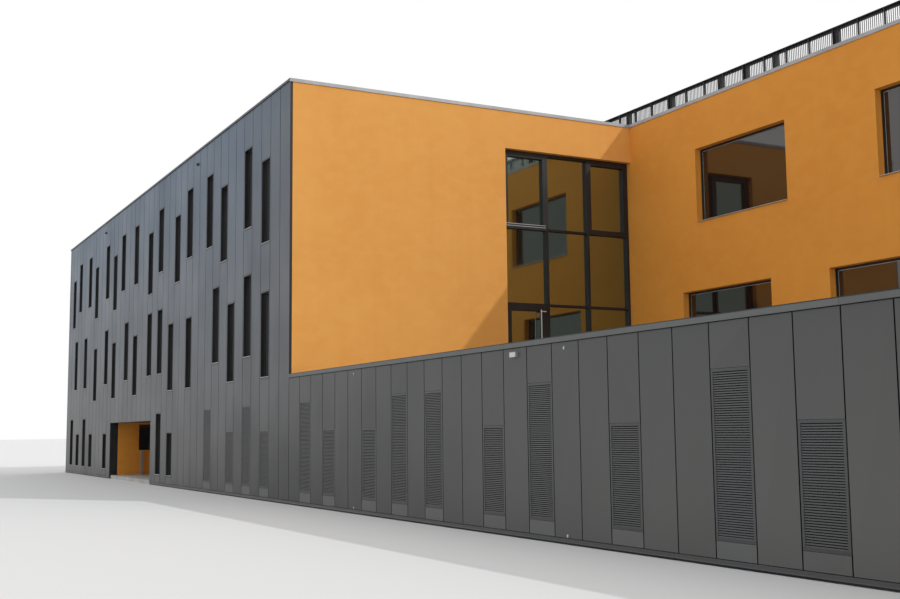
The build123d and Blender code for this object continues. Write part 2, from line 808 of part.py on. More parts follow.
with BuildPart() as dark_coping:
    with BuildSketch(Plane.XY.offset(clad_top)):
        with BuildLine():
            Polyline(
                (outer_west, outer_front),
                (fascia_x, outer_front),
                (fascia_x - coping_width, inner_edge_front),
                (inner_edge_west, inner_edge_front),
                (inner_edge_west, inner_edge_rear),
                (inner_edge_east, inner_edge_rear),
                (inner_edge_east, fascia_y),
                (outer_east, fascia_y),
                (outer_east, outer_rear),
                (outer_west, outer_rear),
                close=True,
            )
        make_face()
        with Locations(*[(x, front_middle) for x in joint_places(corner_x, inner_edge_west)]):
            Rectangle(*across_x, mode=Mode.SUBTRACT)
        with Locations(*[(x, rear_middle) for x in rear_coping_joints]):
            Rectangle(*across_x, mode=Mode.SUBTRACT)
        with Locations(*[(west_middle, y) for y in joint_places(front_y, inner_edge_rear)]):
            Rectangle(*across_y, mode=Mode.SUBTRACT)
        with Locations(*[(east_middle, y) for y in joint_places(terrace_y, inner_edge_rear)]):
            Rectangle(*across_y, mode=Mode.SUBTRACT)
    extrude(amount=dark_coping_height)
dark_coping.part.label = "dark_coping"
export_step(dark_coping.part, "parts/dark_coping.step")

# The pale coping is deeper, so its lower part stops at the panels and the dark coping laps over it
pale_side_joints = [(corner_x - render_wall / 2, y) for y in joint_places(inner_edge_front, fascia_y)]
pale_back_joints = [(x, terrace_y + render_wall / 2) for x in joint_places(corner_x, inner_edge_east)[:-1]]
with BuildPart() as pale_coping:
    with BuildSketch(Plane.XY.offset(render_top)):
        with BuildLine():
            Polyline(
                (corner_x, outer_front),
                (fascia_x, outer_front),
                (fascia_x, fascia_y),
                (east_x - panel_depth, fascia_y),
                (east_x - panel_depth, terrace_y + render_wall),
                (inner_east, terrace_y + render_wall),
                (inner_east, fascia_y + coping_width),
                (fascia_x - coping_width, fascia_y + coping_width),
                (fascia_x - coping_width, inner_front),
                (corner_x - render_wall, inner_front),
                (corner_x - render_wall, front_y + panel_depth),
                (corner_x, front_y + panel_depth),
                close=True,
            )
        make_face()
    extrude(amount=pale_coping_height - dark_coping_height)
    with BuildSketch(Plane.XY.offset(clad_top)):
        with BuildLine():
            Polyline(
                (fascia_x, outer_front),
                (fascia_x, fascia_y),
                (inner_edge_east - coping_joint, fascia_y),
                (inner_edge_east - coping_joint, fascia_y + coping_width),
                (fascia_x - coping_width, fascia_y + coping_width),
                (fascia_x - coping_width, inner_edge_front),
                close=True,
            )
        make_face()
    extrude(amount=dark_coping_height)
    with BuildSketch(Plane.XY.offset(render_top)):
        with Locations(*pale_side_joints):
            Rectangle(*across_y)
        with Locations(*pale_back_joints):
            Rectangle(*across_x)
    extrude(amount=pale_coping_height, mode=Mode.SUBTRACT)
pale_coping.part.label = "pale_coping"
export_step(pale_coping.part, "parts/pale_coping.step")

with BuildPart() as podium_coping:
    with BuildSketch(Plane.XY.offset(podium_clad_top)):
        with BuildLine():
            Polyline(
                (corner_x + coping_joint, outer_front),
                (outer_east, outer_front),
                (outer_east, terrace_y - coping_joint),
                (inner_edge_east, terrace_y - coping_joint),
                (inner_edge_east, inner_edge_front),
                (corner_x + coping_joint, inner_edge_front),
                close=True,
            )
        make_face()
        with Locations(*[(x, front_middle) for x in joint_places(corner_x, inner_edge_east)]):
            Rectangle(*across_x, mode=Mode.SUBTRACT)
        with Locations(*[(east_middle, y) for y in joint_places(terrace_y, inner_edge_front)[:-1]]):
            Rectangle(*across_y, mode=Mode.SUBTRACT)
    extrude(amount=podium_coping_height)
podium_coping.part.label = "podium_coping"
export_step(podium_coping.part, "parts/podium_coping.step")

with BuildPart() as terrace_paving:
    middle, size = plan(corner_x, inner_east, inner_front, terrace_y)
    with BuildSketch(Plane.XY.offset(first_floor)):
        with Locations(middle):
            Rectangle(*size)
    extrude(amount=paving_thickness)
terrace_paving.part.label = "terrace_paving"
export_step(terrace_paving.part, "parts/terrace_paving.step")

# Roof railing behind the terrace's back wall
railing_y = terrace_y + render_wall + railing_inset
railing_start = corner_x - railing_lead - railing_post_pitch / 2
railing_end = inner_east - railing_inset
rail_middle = (railing_start + railing_end) / 2
rail_length = railing_end - railing_start
handrail_bottom = coping_top + railing_height - handrail_height
post_count = int((railing_end - corner_x + railing_lead) / railing_post_pitch) + 1
post_places = [corner_x - railing_lead + railing_post_pitch * n for n in range(post_count)]

with BuildPart() as railing_posts:
    with BuildSketch(Plane.XY.offset(roof_level)):
        with Locations(*[(x, railing_y) for x in post_places]):
            Rectangle(railing_post_width, railing_post_depth)
    extrude(amount=handrail_bottom - roof_level)
railing_posts.part.label = "railing_posts"
export_step(railing_posts.part, "parts/railing_posts.step")

with BuildPart() as railing_handrail:
    with BuildSketch(Plane.XY.offset(handrail_bottom)):
        with Locations((rail_middle, railing_y)):
            Rectangle(rail_length, handrail_depth)
    extrude(amount=handrail_height)
railing_handrail.part.label = "railing_handrail"
export_step(railing_handrail.part, "parts/railing_handrail.step")

# Frame of wide posts and a beam, just behind the railing
frame_y = railing_y + railing_post_depth / 2 + coping_joint + frame_post_depth / 2
frame_count = int((railing_end - corner_x + frame_lead) / frame_post_pitch) + 1
frame_places = [corner_x - frame_lead + frame_post_pitch * n for n in range(frame_count)]
frame_places.append(corner_x + extra_frame_post)
frame_middle = (frame_places[0] - frame_post_width / 2 + railing_end) / 2
with BuildPart() as railing_frame:
    with BuildSketch(Plane.XY.offset(roof_level)):
        with Locations(*[(x, frame_y) for x in frame_places]):
            Rectangle(frame_post_width, frame_post_depth)
    extrude(amount=handrail_bottom - roof_level)
    with BuildSketch(Plane.XY.offset(handrail_bottom)):
        with Locations((frame_middle, frame_y)):
            Rectangle(2 * (railing_end - frame_middle), frame_post_depth)
    extrude(amount=-frame_beam_height)
railing_frame.part.label = "railing_frame"
export_step(railing_frame.part, "parts/railing_frame.step")

# Overflow spouts through the parapets, and the lamp on the podium
spout_level = roof_level + spout_height
with BuildPart() as roof_spouts:
    for face, side in ((front, 1), (rear, -1)):
        with BuildSketch(face):
            with Locations(*[(side * (corner_x + place), spout_level) for place in spout_places]):
                Rectangle(spout_width, spout_width)
                Rectangle(spout_width - 2 * spout_wall, spout_width - 2 * spout_wall, mode=Mode.SUBTRACT)
        extrude(amount=spout_length)
roof_spouts.part.label = "roof_spouts"
export_step(roof_spouts.part, "parts/roof_spouts.step")

with BuildPart() as wall_lamp:
    with BuildSketch(front):
        with Locations((front_place(lamp_panel), podium_top - lamp_drop)):
            Rectangle(lamp_width, lamp_height)
    extrude(amount=lamp_depth)
wall_lamp.part.label = "wall_lamp"
export_step(wall_lamp.part, "parts/wall_lamp.step")
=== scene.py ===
"""Finishes and fittings of the factory building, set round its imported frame.

The building is half its real size. Every length is in metres of the model.
"""
import math

import bmesh
import bpy
from mathutils import Matrix, Vector


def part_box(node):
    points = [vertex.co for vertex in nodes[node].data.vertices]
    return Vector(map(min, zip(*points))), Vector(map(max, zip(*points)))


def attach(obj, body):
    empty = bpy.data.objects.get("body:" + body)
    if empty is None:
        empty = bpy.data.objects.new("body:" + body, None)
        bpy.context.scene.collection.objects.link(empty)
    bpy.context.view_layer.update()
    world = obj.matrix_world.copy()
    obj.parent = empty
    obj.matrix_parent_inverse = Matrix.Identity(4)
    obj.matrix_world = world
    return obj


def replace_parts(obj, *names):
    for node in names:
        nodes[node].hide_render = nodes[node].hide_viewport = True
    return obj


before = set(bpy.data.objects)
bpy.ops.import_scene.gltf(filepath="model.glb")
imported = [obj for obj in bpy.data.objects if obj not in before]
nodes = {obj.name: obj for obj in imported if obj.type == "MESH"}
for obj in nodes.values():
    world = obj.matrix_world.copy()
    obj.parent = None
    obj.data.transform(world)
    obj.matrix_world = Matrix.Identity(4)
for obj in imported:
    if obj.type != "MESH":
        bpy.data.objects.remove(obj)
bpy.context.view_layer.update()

# Floors
# The ground slab and the upper floors are cast concrete, poured on smooth boards and left bare.
# They carry the walls, and their edges show in the openings.


def put(tree, kind, sockets=None, **settings):
    """A node with its settings, its values and the links that feed it."""
    made = tree.nodes.new(kind)
    for name, value in settings.items():
        setattr(made, name, value)
    for name, value in (sockets or {}).items():
        if isinstance(value, bpy.types.NodeSocket):
            tree.links.new(value, made.inputs[name])
        else:
            made.inputs[name].default_value = value
    return made


def calc(tree, operation, first, second=0.0):
    """One step of arithmetic on two values."""
    return put(tree, "ShaderNodeMath", {0: first, 1: second}, operation=operation).outputs[0]


def spread(tree, value, low, high, start, end):
    """A value between low and high, stretched to run from start to end."""
    sockets = {"Value": value, "From Min": low, "From Max": high, "To Min": start, "To Max": end}
    return put(tree, "ShaderNodeMapRange", sockets).outputs[0]


def tint(tree, factor, first, second, blend_type="MIX"):
    """Two colours mixed by a factor."""
    sockets = {0: factor, 6: first, 7: second}
    return put(tree, "ShaderNodeMix", sockets, data_type="RGBA", blend_type=blend_type).outputs[2]


def noise(tree, scale, detail, stretch=(1.0, 1.0, 1.0)):
    """Noise fixed to the building, with its own stretch along each axis."""
    place = put(tree, "ShaderNodeTexCoord").outputs["Object"]
    mapped = put(tree, "ShaderNodeMapping", {"Vector": place, "Scale": stretch})
    sockets = {"Vector": mapped.outputs[0], "Scale": scale, "Detail": detail}
    return put(tree, "ShaderNodeTexNoise", sockets).outputs[0]


def effect(name, values, results):
    """A node group with named inputs and outputs, and its two ends to wire."""
    group = bpy.data.node_groups.new(name, "ShaderNodeTree")
    for label, value in values.items():
        socket = group.interface.new_socket(label, in_out="INPUT", socket_type="NodeSocketFloat")
        socket.default_value = value
    for label, kind in results.items():
        group.interface.new_socket(label, in_out="OUTPUT", socket_type=kind)
    start = group.nodes.new("NodeGroupInput")
    end = group.nodes.new("NodeGroupOutput")
    return group, start.outputs, end.inputs


def use(tree, group, **values):
    """A group placed in a material, with that material's own values."""
    placed = put(tree, "ShaderNodeGroup", node_tree=group)
    for label, value in values.items():
        placed.inputs[label.replace("_", " ")].default_value = value
    return placed.outputs


def patches(tree, texture, reach=0.15):
    """The grain's broad patches, stretched about their middle tone to run from none to all."""
    return spread(tree, texture["Tone"], 0.5 - reach, 0.5 + reach, 0.0, 1.0)


def finish_material(name, roughness, metallic=0.0, specular=0.5):
    """An empty material with its plain shader values set."""
    material = bpy.data.materials.new(name)
    material.use_nodes = True
    shader = material.node_tree.nodes["Principled BSDF"]
    shader.inputs["Roughness"].default_value = roughness
    shader.inputs["Metallic"].default_value = metallic
    shader.inputs["Specular IOR Level"].default_value = specular
    return material, material.node_tree, shader


def relief(tree, shader, height, depth):
    """Bump of a real depth on the shader's normal."""
    sockets = {"Height": height, "Distance": depth, "Strength": 1.0}
    tree.links.new(put(tree, "ShaderNodeBump", sockets).outputs[0], shader.inputs["Normal"])


def dress(material, *names):
    """Puts a finish on nodes of the frame."""
    for name in names:
        mesh = nodes[name].data
        mesh.materials.clear()
        mesh.materials.append(material)


# Grain: a fine tooth with broad patches over it
grain, grain_in, grain_out = effect(
    "surface_grain",
    {"Fine Scale": 300.0, "Patch Scale": 1.5, "Patch Share": 0.6},
    {"Tone": "NodeSocketFloat", "Height": "NodeSocketFloat"},
)
grain_fine = noise(grain, grain_in["Fine Scale"], 2.0)
grain_patch = noise(grain, grain_in["Patch Scale"], 5.0)
grain_mix = put(
    grain, "ShaderNodeMix", {0: grain_in["Patch Share"], 2: grain_fine, 3: grain_patch}, data_type="FLOAT"
)
grain.links.new(grain_mix.outputs[0], grain_out["Tone"])
grain.links.new(grain_fine, grain_out["Height"])

# Streaks: rain marks that run straight down a face and break up along it
streak_draw = 0.06
streak_break_scale = 0.7
streak_start = 0.25
streak_full = 0.02
streaks, streaks_in, streaks_out = effect("rain_streaks", {"Spacing": 9.0}, {"Mask": "NodeSocketFloat"})
streaks_lines = noise(streaks, streaks_in["Spacing"], 6.0, (1.0, 1.0, streak_draw))
streaks_broad = noise(streaks, streak_break_scale, 2.0)
streaks_both = calc(streaks, "MULTIPLY", streaks_lines, streaks_broad)
streaks_mask = spread(streaks, streaks_both, streak_start, streak_full, 0.0, 1.0)
streaks.links.new(streaks_mask, streaks_out["Mask"])

concrete_pale = (0.50, 0.49, 0.46, 1.0)
concrete_dark = (0.33, 0.325, 0.31, 1.0)
concrete_wet = (0.2, 0.2, 0.19, 1.0)
concrete_wet_share = 0.35
concrete_pore_depth = 0.0006


def cast_concrete():
    """Bare concrete with clouds of paler bloom, fine pores and damp marks."""
    material, tree, shader = finish_material("cast_concrete", 0.85)
    texture = use(tree, grain, Fine_Scale=240.0, Patch_Scale=2.2, Patch_Share=0.75)
    clouds = tint(tree, patches(tree, texture), concrete_dark, concrete_pale)
    darkened = use(tree, streaks, Spacing=5.0)["Mask"]
    marked = tint(tree, calc(tree, "MULTIPLY", darkened, concrete_wet_share), clouds, concrete_wet)
    tree.links.new(marked, shader.inputs["Base Color"])
    relief(tree, shader, texture["Height"], concrete_pore_depth)
    return material


dress(cast_concrete(), "ground_slab", "first_floor_slab", "second_floor_front", "second_floor_rear")

# Roof decks
# Both flat roofs are insulated decks under mineral felt, laid in strips that lap at the sides.
# The felt carries fine slate grit and turns paler where water has stood.
felt_grit = (0.21, 0.215, 0.22, 1.0)
felt_bloom = (0.34, 0.34, 0.33, 1.0)
felt_tar = (0.08, 0.08, 0.085, 1.0)
felt_tar_share = 0.7
felt_grit_share = 0.4
felt_strip = 0.5
felt_lap = 0.025
felt_lap_depth = 0.003


def mineral_felt():
    """Roofing felt in strips with welded laps."""
    material, tree, shader = finish_material("mineral_felt", 0.9)
    texture = use(tree, grain, Fine_Scale=500.0, Patch_Scale=0.9, Patch_Share=0.7)
    colour = tint(tree, patches(tree, texture), felt_grit, felt_bloom)
    place = put(tree, "ShaderNodeTexCoord").outputs["Object"]
    across = put(tree, "ShaderNodeSeparateXYZ", {0: place}).outputs["Y"]
    strip = calc(tree, "FRACT", calc(tree, "DIVIDE", across, felt_strip))
    lap = spread(tree, strip, 0.0, felt_lap / felt_strip, 1.0, 0.0)
    tarred = tint(tree, calc(tree, "MULTIPLY", lap, felt_tar_share), colour, felt_tar)
    tree.links.new(tarred, shader.inputs["Base Color"])
    height = calc(tree, "ADD", lap, calc(tree, "MULTIPLY", texture["Height"], felt_grit_share))
    relief(tree, shader, height, felt_lap_depth)
    return material


dress(mineral_felt(), "roof_deck_front", "roof_deck_rear")

# Terrace paving
# Square concrete slabs lie dry on the podium, butted with narrow open joints.
# They differ a little in tone, with darker dirt along the joints.
slab_side = 0.25
slab_joint = 0.012
slab_pale = (0.47, 0.46, 0.43, 1.0)
slab_dark = (0.36, 0.355, 0.34, 1.0)
slab_dirt = (0.1, 0.1, 0.095, 1.0)
slab_dull = 0.82
slab_clean = 1.1
slab_pore_share = 0.2
slab_joint_depth = 0.004


def shaded(tree, colour, level):
    """A colour made darker or lighter by a level."""
    grey = put(tree, "ShaderNodeCombineColor", {0: level, 1: level, 2: level}).outputs[0]
    return tint(tree, 1.0, colour, grey, "MULTIPLY")


def paving_slabs():
    """Square slabs with dark joints."""
    material, tree, shader = finish_material("paving_slabs", 0.88)
    place = put(tree, "ShaderNodeTexCoord").outputs["Object"]
    sockets = {
        "Vector": place,
        "Color1": slab_pale,
        "Color2": slab_dark,
        "Mortar": slab_dirt,
        "Scale": 1.0,
        "Mortar Size": slab_joint / 2,
        "Mortar Smooth": 0.3,
        "Brick Width": slab_side,
        "Row Height": slab_side,
    }
    slabs = put(tree, "ShaderNodeTexBrick", sockets, offset=0.0, squash=1.0)
    texture = use(tree, grain, Fine_Scale=350.0, Patch_Scale=3.0, Patch_Share=0.5)
    level = spread(tree, patches(tree, texture), 0.0, 1.0, slab_dull, slab_clean)
    tree.links.new(shaded(tree, slabs.outputs["Color"], level), shader.inputs["Base Color"])
    pores = calc(tree, "MULTIPLY", texture["Height"], slab_pore_share)
    relief(tree, shader, calc(tree, "SUBTRACT", pores, slabs.outputs["Fac"]), slab_joint_depth)
    return material


dress(paving_slabs(), "terrace_paving")

# Walls behind the panels
# The outer walls are concrete with a black weatherproof membrane, which shows only as the dark
# of the panel joints and inside the window slots. It has slight creases and duller patches.
membrane_black = (0.012, 0.0125, 0.014, 1.0)
membrane_worn = (0.026, 0.027, 0.03, 1.0)
membrane_crease_scale = 7.0
membrane_crease_depth = 0.002


def wall_membrane():
    """Black membrane with slight creases."""
    material, tree, shader = finish_material("wall_membrane", 0.7, specular=0.3)
    texture = use(tree, grain, Fine_Scale=60.0, Patch_Scale=3.0, Patch_Share=0.6)
    worn_patches = patches(tree, texture, 0.1)
    tree.links.new(tint(tree, worn_patches, membrane_black, membrane_worn), shader.inputs["Base Color"])
    relief(tree, shader, noise(tree, membrane_crease_scale, 3.0), membrane_crease_depth)
    return material


membrane = wall_membrane()
dress(
    membrane,
    "front_wall_left",
    "front_wall_right",
    "front_wall_over_porch",
    "front_wall_upper",
    "podium_front_wall",
    "rear_wall",
    "west_wall",
    "east_podium_wall",
    "east_wing_wall",
)

# Upright wall panels
# Long cassettes of satin coated sheet metal hang on the walls, one to a bay, with open joints.
# A painted sky reflection makes the coating bluer up the tall walls, most on the front. Each panel
# takes its own tone and the sheet ripples. The folded returns in the joints, and a thin band beside
# each joint on the tall front, are painted dark as painted shade.
panel_grey = (0.052, 0.0515, 0.050, 1.0)
panel_cool = (0.056, 0.058, 0.062, 1.0)
painted_sky_middle = (0.057, 0.066, 0.081, 1.0)
painted_sky_high = (0.048, 0.066, 0.092, 1.0)
front_painted_sky_middle = (0.059, 0.080, 0.111, 1.0)
front_painted_sky_high = (0.035, 0.075, 0.127, 1.0)
panel_dark_foot = (0.019, 0.020, 0.023, 1.0)
panel_pale_foot = (0.095, 0.094, 0.092, 1.0)
panel_edge = (0.13, 0.135, 0.14, 1.0)
panel_dust = (0.10, 0.10, 0.095, 1.0)
painted_shade_dark = (0.010, 0.010, 0.011, 1.0)
panel_roughness = 0.42
panel_dust_share = 0.16
panel_edge_share = 0.55
panel_gloss_low = -0.04
panel_gloss_high = 0.05
panel_rain_dulling = 0.1
panel_tooth_share = 0.01
podium_top = 1.9
middle_level = 4.1
high_level = 6.4
ripple_depth = 0.004
ripple_scale = 1.6
ripple_draw = 0.45
corner_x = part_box("terrace_side_wall")[1].x
panel_pitch = 0.450
dark_foot_bays = 16
greyer_bays = 6
greyer_share = 0.85
pale_foot_bays = 25
podium_foot_share = 0.25
joint_shade_start = 0.004
joint_shade_end = 0.014
joint_shade_share = 0.9

# Worn edges: a rounded look at the folds, with a broken mask where the coating thins
edge_radius = 0.003
fold_start = 0.98
fold_full = 0.8
wear_scale = 30.0
wear_least = 0.25
worn, worn_in, worn_out = effect(
    "worn_edges", {"Radius": edge_radius}, {"Mask": "NodeSocketFloat", "Normal": "NodeSocketVector"}
)
worn_round = put(worn, "ShaderNodeBevel", {"Radius": worn_in["Radius"]}, samples=3)
worn_face = put(worn, "ShaderNodeNewGeometry").outputs["Normal"]
worn_turn = put(
    worn, "ShaderNodeVectorMath", {0: worn_round.outputs[0], 1: worn_face}, operation="DOT_PRODUCT"
).outputs["Value"]
worn_bare = spread(worn, worn_turn, fold_start, fold_full, 0.0, 1.0)
worn_broken = spread(worn, noise(worn, wear_scale, 3.0), 0.35, 0.6, wear_least, 1.0)
worn.links.new(calc(worn, "MULTIPLY", worn_bare, worn_broken), worn_out["Mask"])
worn.links.new(worn_round.outputs[0], worn_out["Normal"])


def coated_sheet(
    name,
    colour,
    cool,
    edge,
    roughness,
    tone_spread=0.06,
    ripple=ripple_depth,
    specular=0.4,
    graded=None,
    face=None,
):
    """Sheet metal with a satin coating: each sheet's own tone, ripples, dust in streaks, worn edges."""
    material, tree, shader = finish_material(name, roughness, specular=specular)
    texture = use(tree, grain, Fine_Scale=420.0, Patch_Scale=0.8, Patch_Share=0.8)
    patch = patches(tree, texture)
    base = tint(tree, patch, colour, cool)
    if graded:
        place = put(tree, "ShaderNodeTexCoord").outputs["Object"]
        base = graded(tree, base, put(tree, "ShaderNodeSeparateXYZ", {0: place}).outputs)
    surface = put(tree, "ShaderNodeNewGeometry")
    own = surface.outputs["Random Per Island"]
    toned = shaded(tree, base, spread(tree, own, 0.0, 1.0, 1.0 - tone_spread, 1.0 + tone_spread))
    rain = use(tree, streaks, Spacing=14.0)["Mask"]
    dusty = tint(tree, calc(tree, "MULTIPLY", rain, panel_dust_share), toned, panel_dust)
    edges = use(tree, worn, Radius=edge_radius)
    rubbed = tint(tree, calc(tree, "MULTIPLY", edges["Mask"], panel_edge_share), dusty, edge)
    # Faces turned off the given axis, the returns in the joints and the louvre blades' backs, are painted
    # dark: painted shade.
    if face:
        turned = put(tree, "ShaderNodeSeparateXYZ", {0: surface.outputs["True Normal"]}).outputs[face]
        rubbed = tint(tree, calc(tree, "ABSOLUTE", turned), painted_shade_dark, rubbed)
    tree.links.new(rubbed, shader.inputs["Base Color"])
    clean = spread(tree, patch, 0.0, 1.0, panel_gloss_low, panel_gloss_high)
    dulled = calc(tree, "ADD", clean, calc(tree, "MULTIPLY", rain, panel_rain_dulling))
    tree.links.new(calc(tree, "ADD", dulled, roughness), shader.inputs["Roughness"])
    wave = noise(tree, ripple_scale, 1.5, (1.0, 1.0, ripple_draw))
    height = calc(tree, "ADD", wave, calc(tree, "MULTIPLY", texture["Height"], panel_tooth_share))
    bump = put(
        tree,
        "ShaderNodeBump",
        {"Height": height, "Distance": ripple, "Strength": 1.0, "Normal": edges["Normal"]},
    )
    tree.links.new(bump.outputs[0], shader.inputs["Normal"])
    return material


def painted_sky_rise(tree, base, place, middle, high):
    """A painted sky reflection: the coating turns to its middle tone from the ground up, then to its high
    one at the coping.
    """
    lower = tint(tree, spread(tree, place["Z"], podium_top / 2, middle_level, 0.0, 1.0), base, middle)
    return tint(tree, spread(tree, place["Z"], middle_level, high_level, 0.0, 1.0), lower, high)


def tall_wall_painted_sky(tree, base, place):
    """The rear and end walls, a little bluer towards the coping with a painted sky reflection."""
    return painted_sky_rise(tree, base, place, painted_sky_middle, painted_sky_high)


def tall_front_painted_light(tree, base, place):
    """The tall front: a painted sky reflection bluest away from the terrace corner, darker at its foot near
    the corner, with painted shade by its joints.
    """
    # The tall front is darker at its foot near the corner.
    near = spread(tree, place["X"], corner_x - dark_foot_bays * panel_pitch, corner_x, 0.0, 1.0)
    foot = spread(tree, place["Z"], podium_top / 2, podium_top, 1.0, 0.0)
    darkened = tint(tree, calc(tree, "MULTIPLY", near, foot), base, panel_dark_foot)
    # Near the terrace corner the painted sky reflection fades to greyer tones.
    beside = spread(tree, place["X"], corner_x - greyer_bays * panel_pitch, corner_x, 0.0, greyer_share)
    middle = tint(tree, beside, front_painted_sky_middle, painted_sky_middle)
    coated = painted_sky_rise(tree, darkened, place, middle, tint(tree, beside, front_painted_sky_high, painted_sky_high))
    # A thin band beside each joint is painted dark: painted shade.
    bay = calc(tree, "DIVIDE", calc(tree, "SUBTRACT", place["X"], corner_x), panel_pitch)
    joint = calc(tree, "ABSOLUTE", calc(tree, "SUBTRACT", bay, calc(tree, "ROUND", bay)))
    joint_shade = spread(tree, joint, joint_shade_start / panel_pitch, joint_shade_end / panel_pitch, joint_shade_share, 0.0)
    return tint(tree, joint_shade, coated, painted_shade_dark)


def podium_front(tree, base, place):
    """The podium, darker low down by the corner and paler low down towards its far end."""
    along = spread(tree, place["X"], corner_x, corner_x + pale_foot_bays * panel_pitch, 0.0, 1.0)
    foot = spread(tree, place["Z"], podium_top / 4, podium_top, 1.0, podium_foot_share)
    foot_tone = tint(tree, along, panel_dark_foot, panel_pale_foot)
    return tint(tree, foot, base, foot_tone)


def panel_sheet(name, graded, face):
    """The panels' coating, with painted shade on the returns, all that doesn't face along one axis."""
    return coated_sheet(name, panel_grey, panel_cool, panel_edge, panel_roughness, graded=graded, face=face)


dark_sheet = panel_sheet("dark_panel_coating", None, None)
dress(panel_sheet("front_panel_coating", tall_front_painted_light, "Y"), "front_panels")
dress(panel_sheet("podium_panel_coating", podium_front, "Y"), "podium_panels")
dress(panel_sheet("rear_panel_coating", tall_wall_painted_sky, "Y"), "rear_panels")
dress(panel_sheet("end_panel_coating", tall_wall_painted_sky, "X"), "end_panels")

# Paler panels under the ground openings
# Short cassettes of the same sheet fill the wall under each low window and louvre.
# Splashed dirt and washed dust have left them duller and paler.
base_grey = (0.090, 0.090, 0.088, 1.0)
base_cool = (0.104, 0.106, 0.107, 1.0)
splash_colour = (0.15, 0.147, 0.14, 1.0)

pale_sheet = coated_sheet(
    "pale_panel_coating", base_grey, base_cool, splash_colour, roughness=0.5, face="Y"
)
dress(pale_sheet, "base_panels")

# Base rail
# A folded rail of the same coated metal closes the foot of the panels all round the building,
# with a drip at its lower edge, in lengths of up to six panels. A black strip set in the gap
# under it stands for the shade there: painted shade.
rail_top = 0.055
rail_foot = 0.020
rail_proud = 0.004
rail_depth = 0.030
rail_sheet = 0.003
rail_length = 2.7
rail_joint = 0.002
rail_fold = 0.0006
shade_strip_back = 0.006
shade_strip_sheet = 0.002
shade_strip_clear = 0.009
sharp_turn = math.radians(40)


def prism(outline, origin, across, up, along):
    """Corners and faces of an outline drawn in two directions and pushed along a third."""
    start = [origin + across * a + up * b for a, b in outline]
    corners = start + [corner + along for corner in start]
    count = len(outline)
    faces = [list(range(count)), list(range(2 * count - 1, count - 1, -1))]
    faces += [[n, (n + 1) % count, (n + 1) % count + count, n + count] for n in range(count)]
    return corners, faces


def piece(name, shapes, material, bevel=0.0):
    """Closed shapes in one mesh that rides on the building, its sharp edges cut back by the bevel."""
    made = bmesh.new()
    for corners, faces in shapes:
        placed = [made.verts.new(corner) for corner in corners]
        for face in faces:
            made.faces.new([placed[n] for n in face])
    bmesh.ops.recalc_face_normals(made, faces=made.faces)
    if bevel:
        edges = [edge for edge in made.edges if edge.calc_face_angle(0.0) > sharp_turn]
        bmesh.ops.bevel(made, geom=edges, offset=bevel, segments=1, affect="EDGES", clamp_overlap=True)
    mesh = bpy.data.meshes.new(name)
    made.to_mesh(mesh)
    made.free()
    mesh.materials.append(material)
    thing = bpy.data.objects.new(name, mesh)
    bpy.context.scene.collection.objects.link(thing)
    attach(thing, "root")
    return thing


up_z = Vector((0, 0, 1))
west_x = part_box("end_panels")[0].x
east_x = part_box("end_panels")[1].x
front_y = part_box("front_panels")[0].y
rear_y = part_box("rear_panels")[1].y
# Each side of the building as its first corner, its direction, its outward direction and its length
sides = {
    "front": (Vector((west_x, front_y, 0)), Vector((1, 0, 0)), Vector((0, -1, 0)), east_x - west_x),
    "east": (Vector((east_x, front_y, 0)), Vector((0, 1, 0)), Vector((1, 0, 0)), rear_y - front_y),
    "rear": (Vector((east_x, rear_y, 0)), Vector((-1, 0, 0)), Vector((0, 1, 0)), east_x - west_x),
    "west": (Vector((west_x, rear_y, 0)), Vector((0, -1, 0)), Vector((-1, 0, 0)), rear_y - front_y),
}


def lengths(start, end, most, joint):
    """A run split into equal lengths with a joint between each two."""
    count = math.ceil((end - start) / most)
    step = (end - start) / count
    return [(start + step * n + joint / 2, start + step * (n + 1) - joint / 2) for n in range(count)]


porch_low, porch_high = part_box("porch_ceiling")
rail_outline = [
    (rail_proud, rail_top),
    (-rail_depth, rail_top),
    (-rail_depth, rail_top - rail_sheet),
    (rail_proud - rail_sheet, rail_top - rail_sheet),
    (rail_proud - rail_sheet, rail_foot),
    (rail_proud + rail_sheet, rail_foot - rail_sheet),
    (rail_proud, rail_foot + 2 * rail_sheet),
]
# A black strip behind the rail's foot: painted shade in the gap.
shade_strip_outline = [
    (-shade_strip_back - shade_strip_sheet, 0.0),
    (-shade_strip_back, 0.0),
    (-shade_strip_back, rail_top - 2 * rail_sheet),
    (-shade_strip_back - shade_strip_sheet, rail_top - 2 * rail_sheet),
]
rail_shapes = []
shade_strip_shapes = []
for side, (corner, along, out, length) in sides.items():
    runs = [(0.0, length)]
    if side == "front":
        runs = [(0.0, porch_low.x - west_x), (porch_high.x - west_x, length)]
    for start, end in runs:
        for first, last in lengths(start, end, rail_length, rail_joint):
            rail = along * (last - first)
            rail_shapes.append(prism(rail_outline, corner + along * first, out, up_z, rail))
        shade_strip_run = along * (end - start - 2 * shade_strip_clear)
        shade_strip_shapes.append(prism(shade_strip_outline, corner + along * (start + shade_strip_clear), out, up_z, shade_strip_run))
piece("base_rail", rail_shapes, dark_sheet, bevel=rail_fold)
piece("base_gap_shade_strip", shade_strip_shapes, membrane)

# Slot windows
# Tall fixed lights stand between the panels, each in a folded dark surround. Dark double glazing
# sits back in a slim black frame, and black metal lines the reveal. A bright sill sheds the rain.
glass_dark = (0.032, 0.033, 0.034, 1.0)
glass_haze = (0.050, 0.051, 0.054, 1.0)
cloud_share = 0.4
dust_share = 0.3
pane_share = 0.3
glass_clean = 0.03
glass_dusty = 0.09
glass_sag = 0.0012


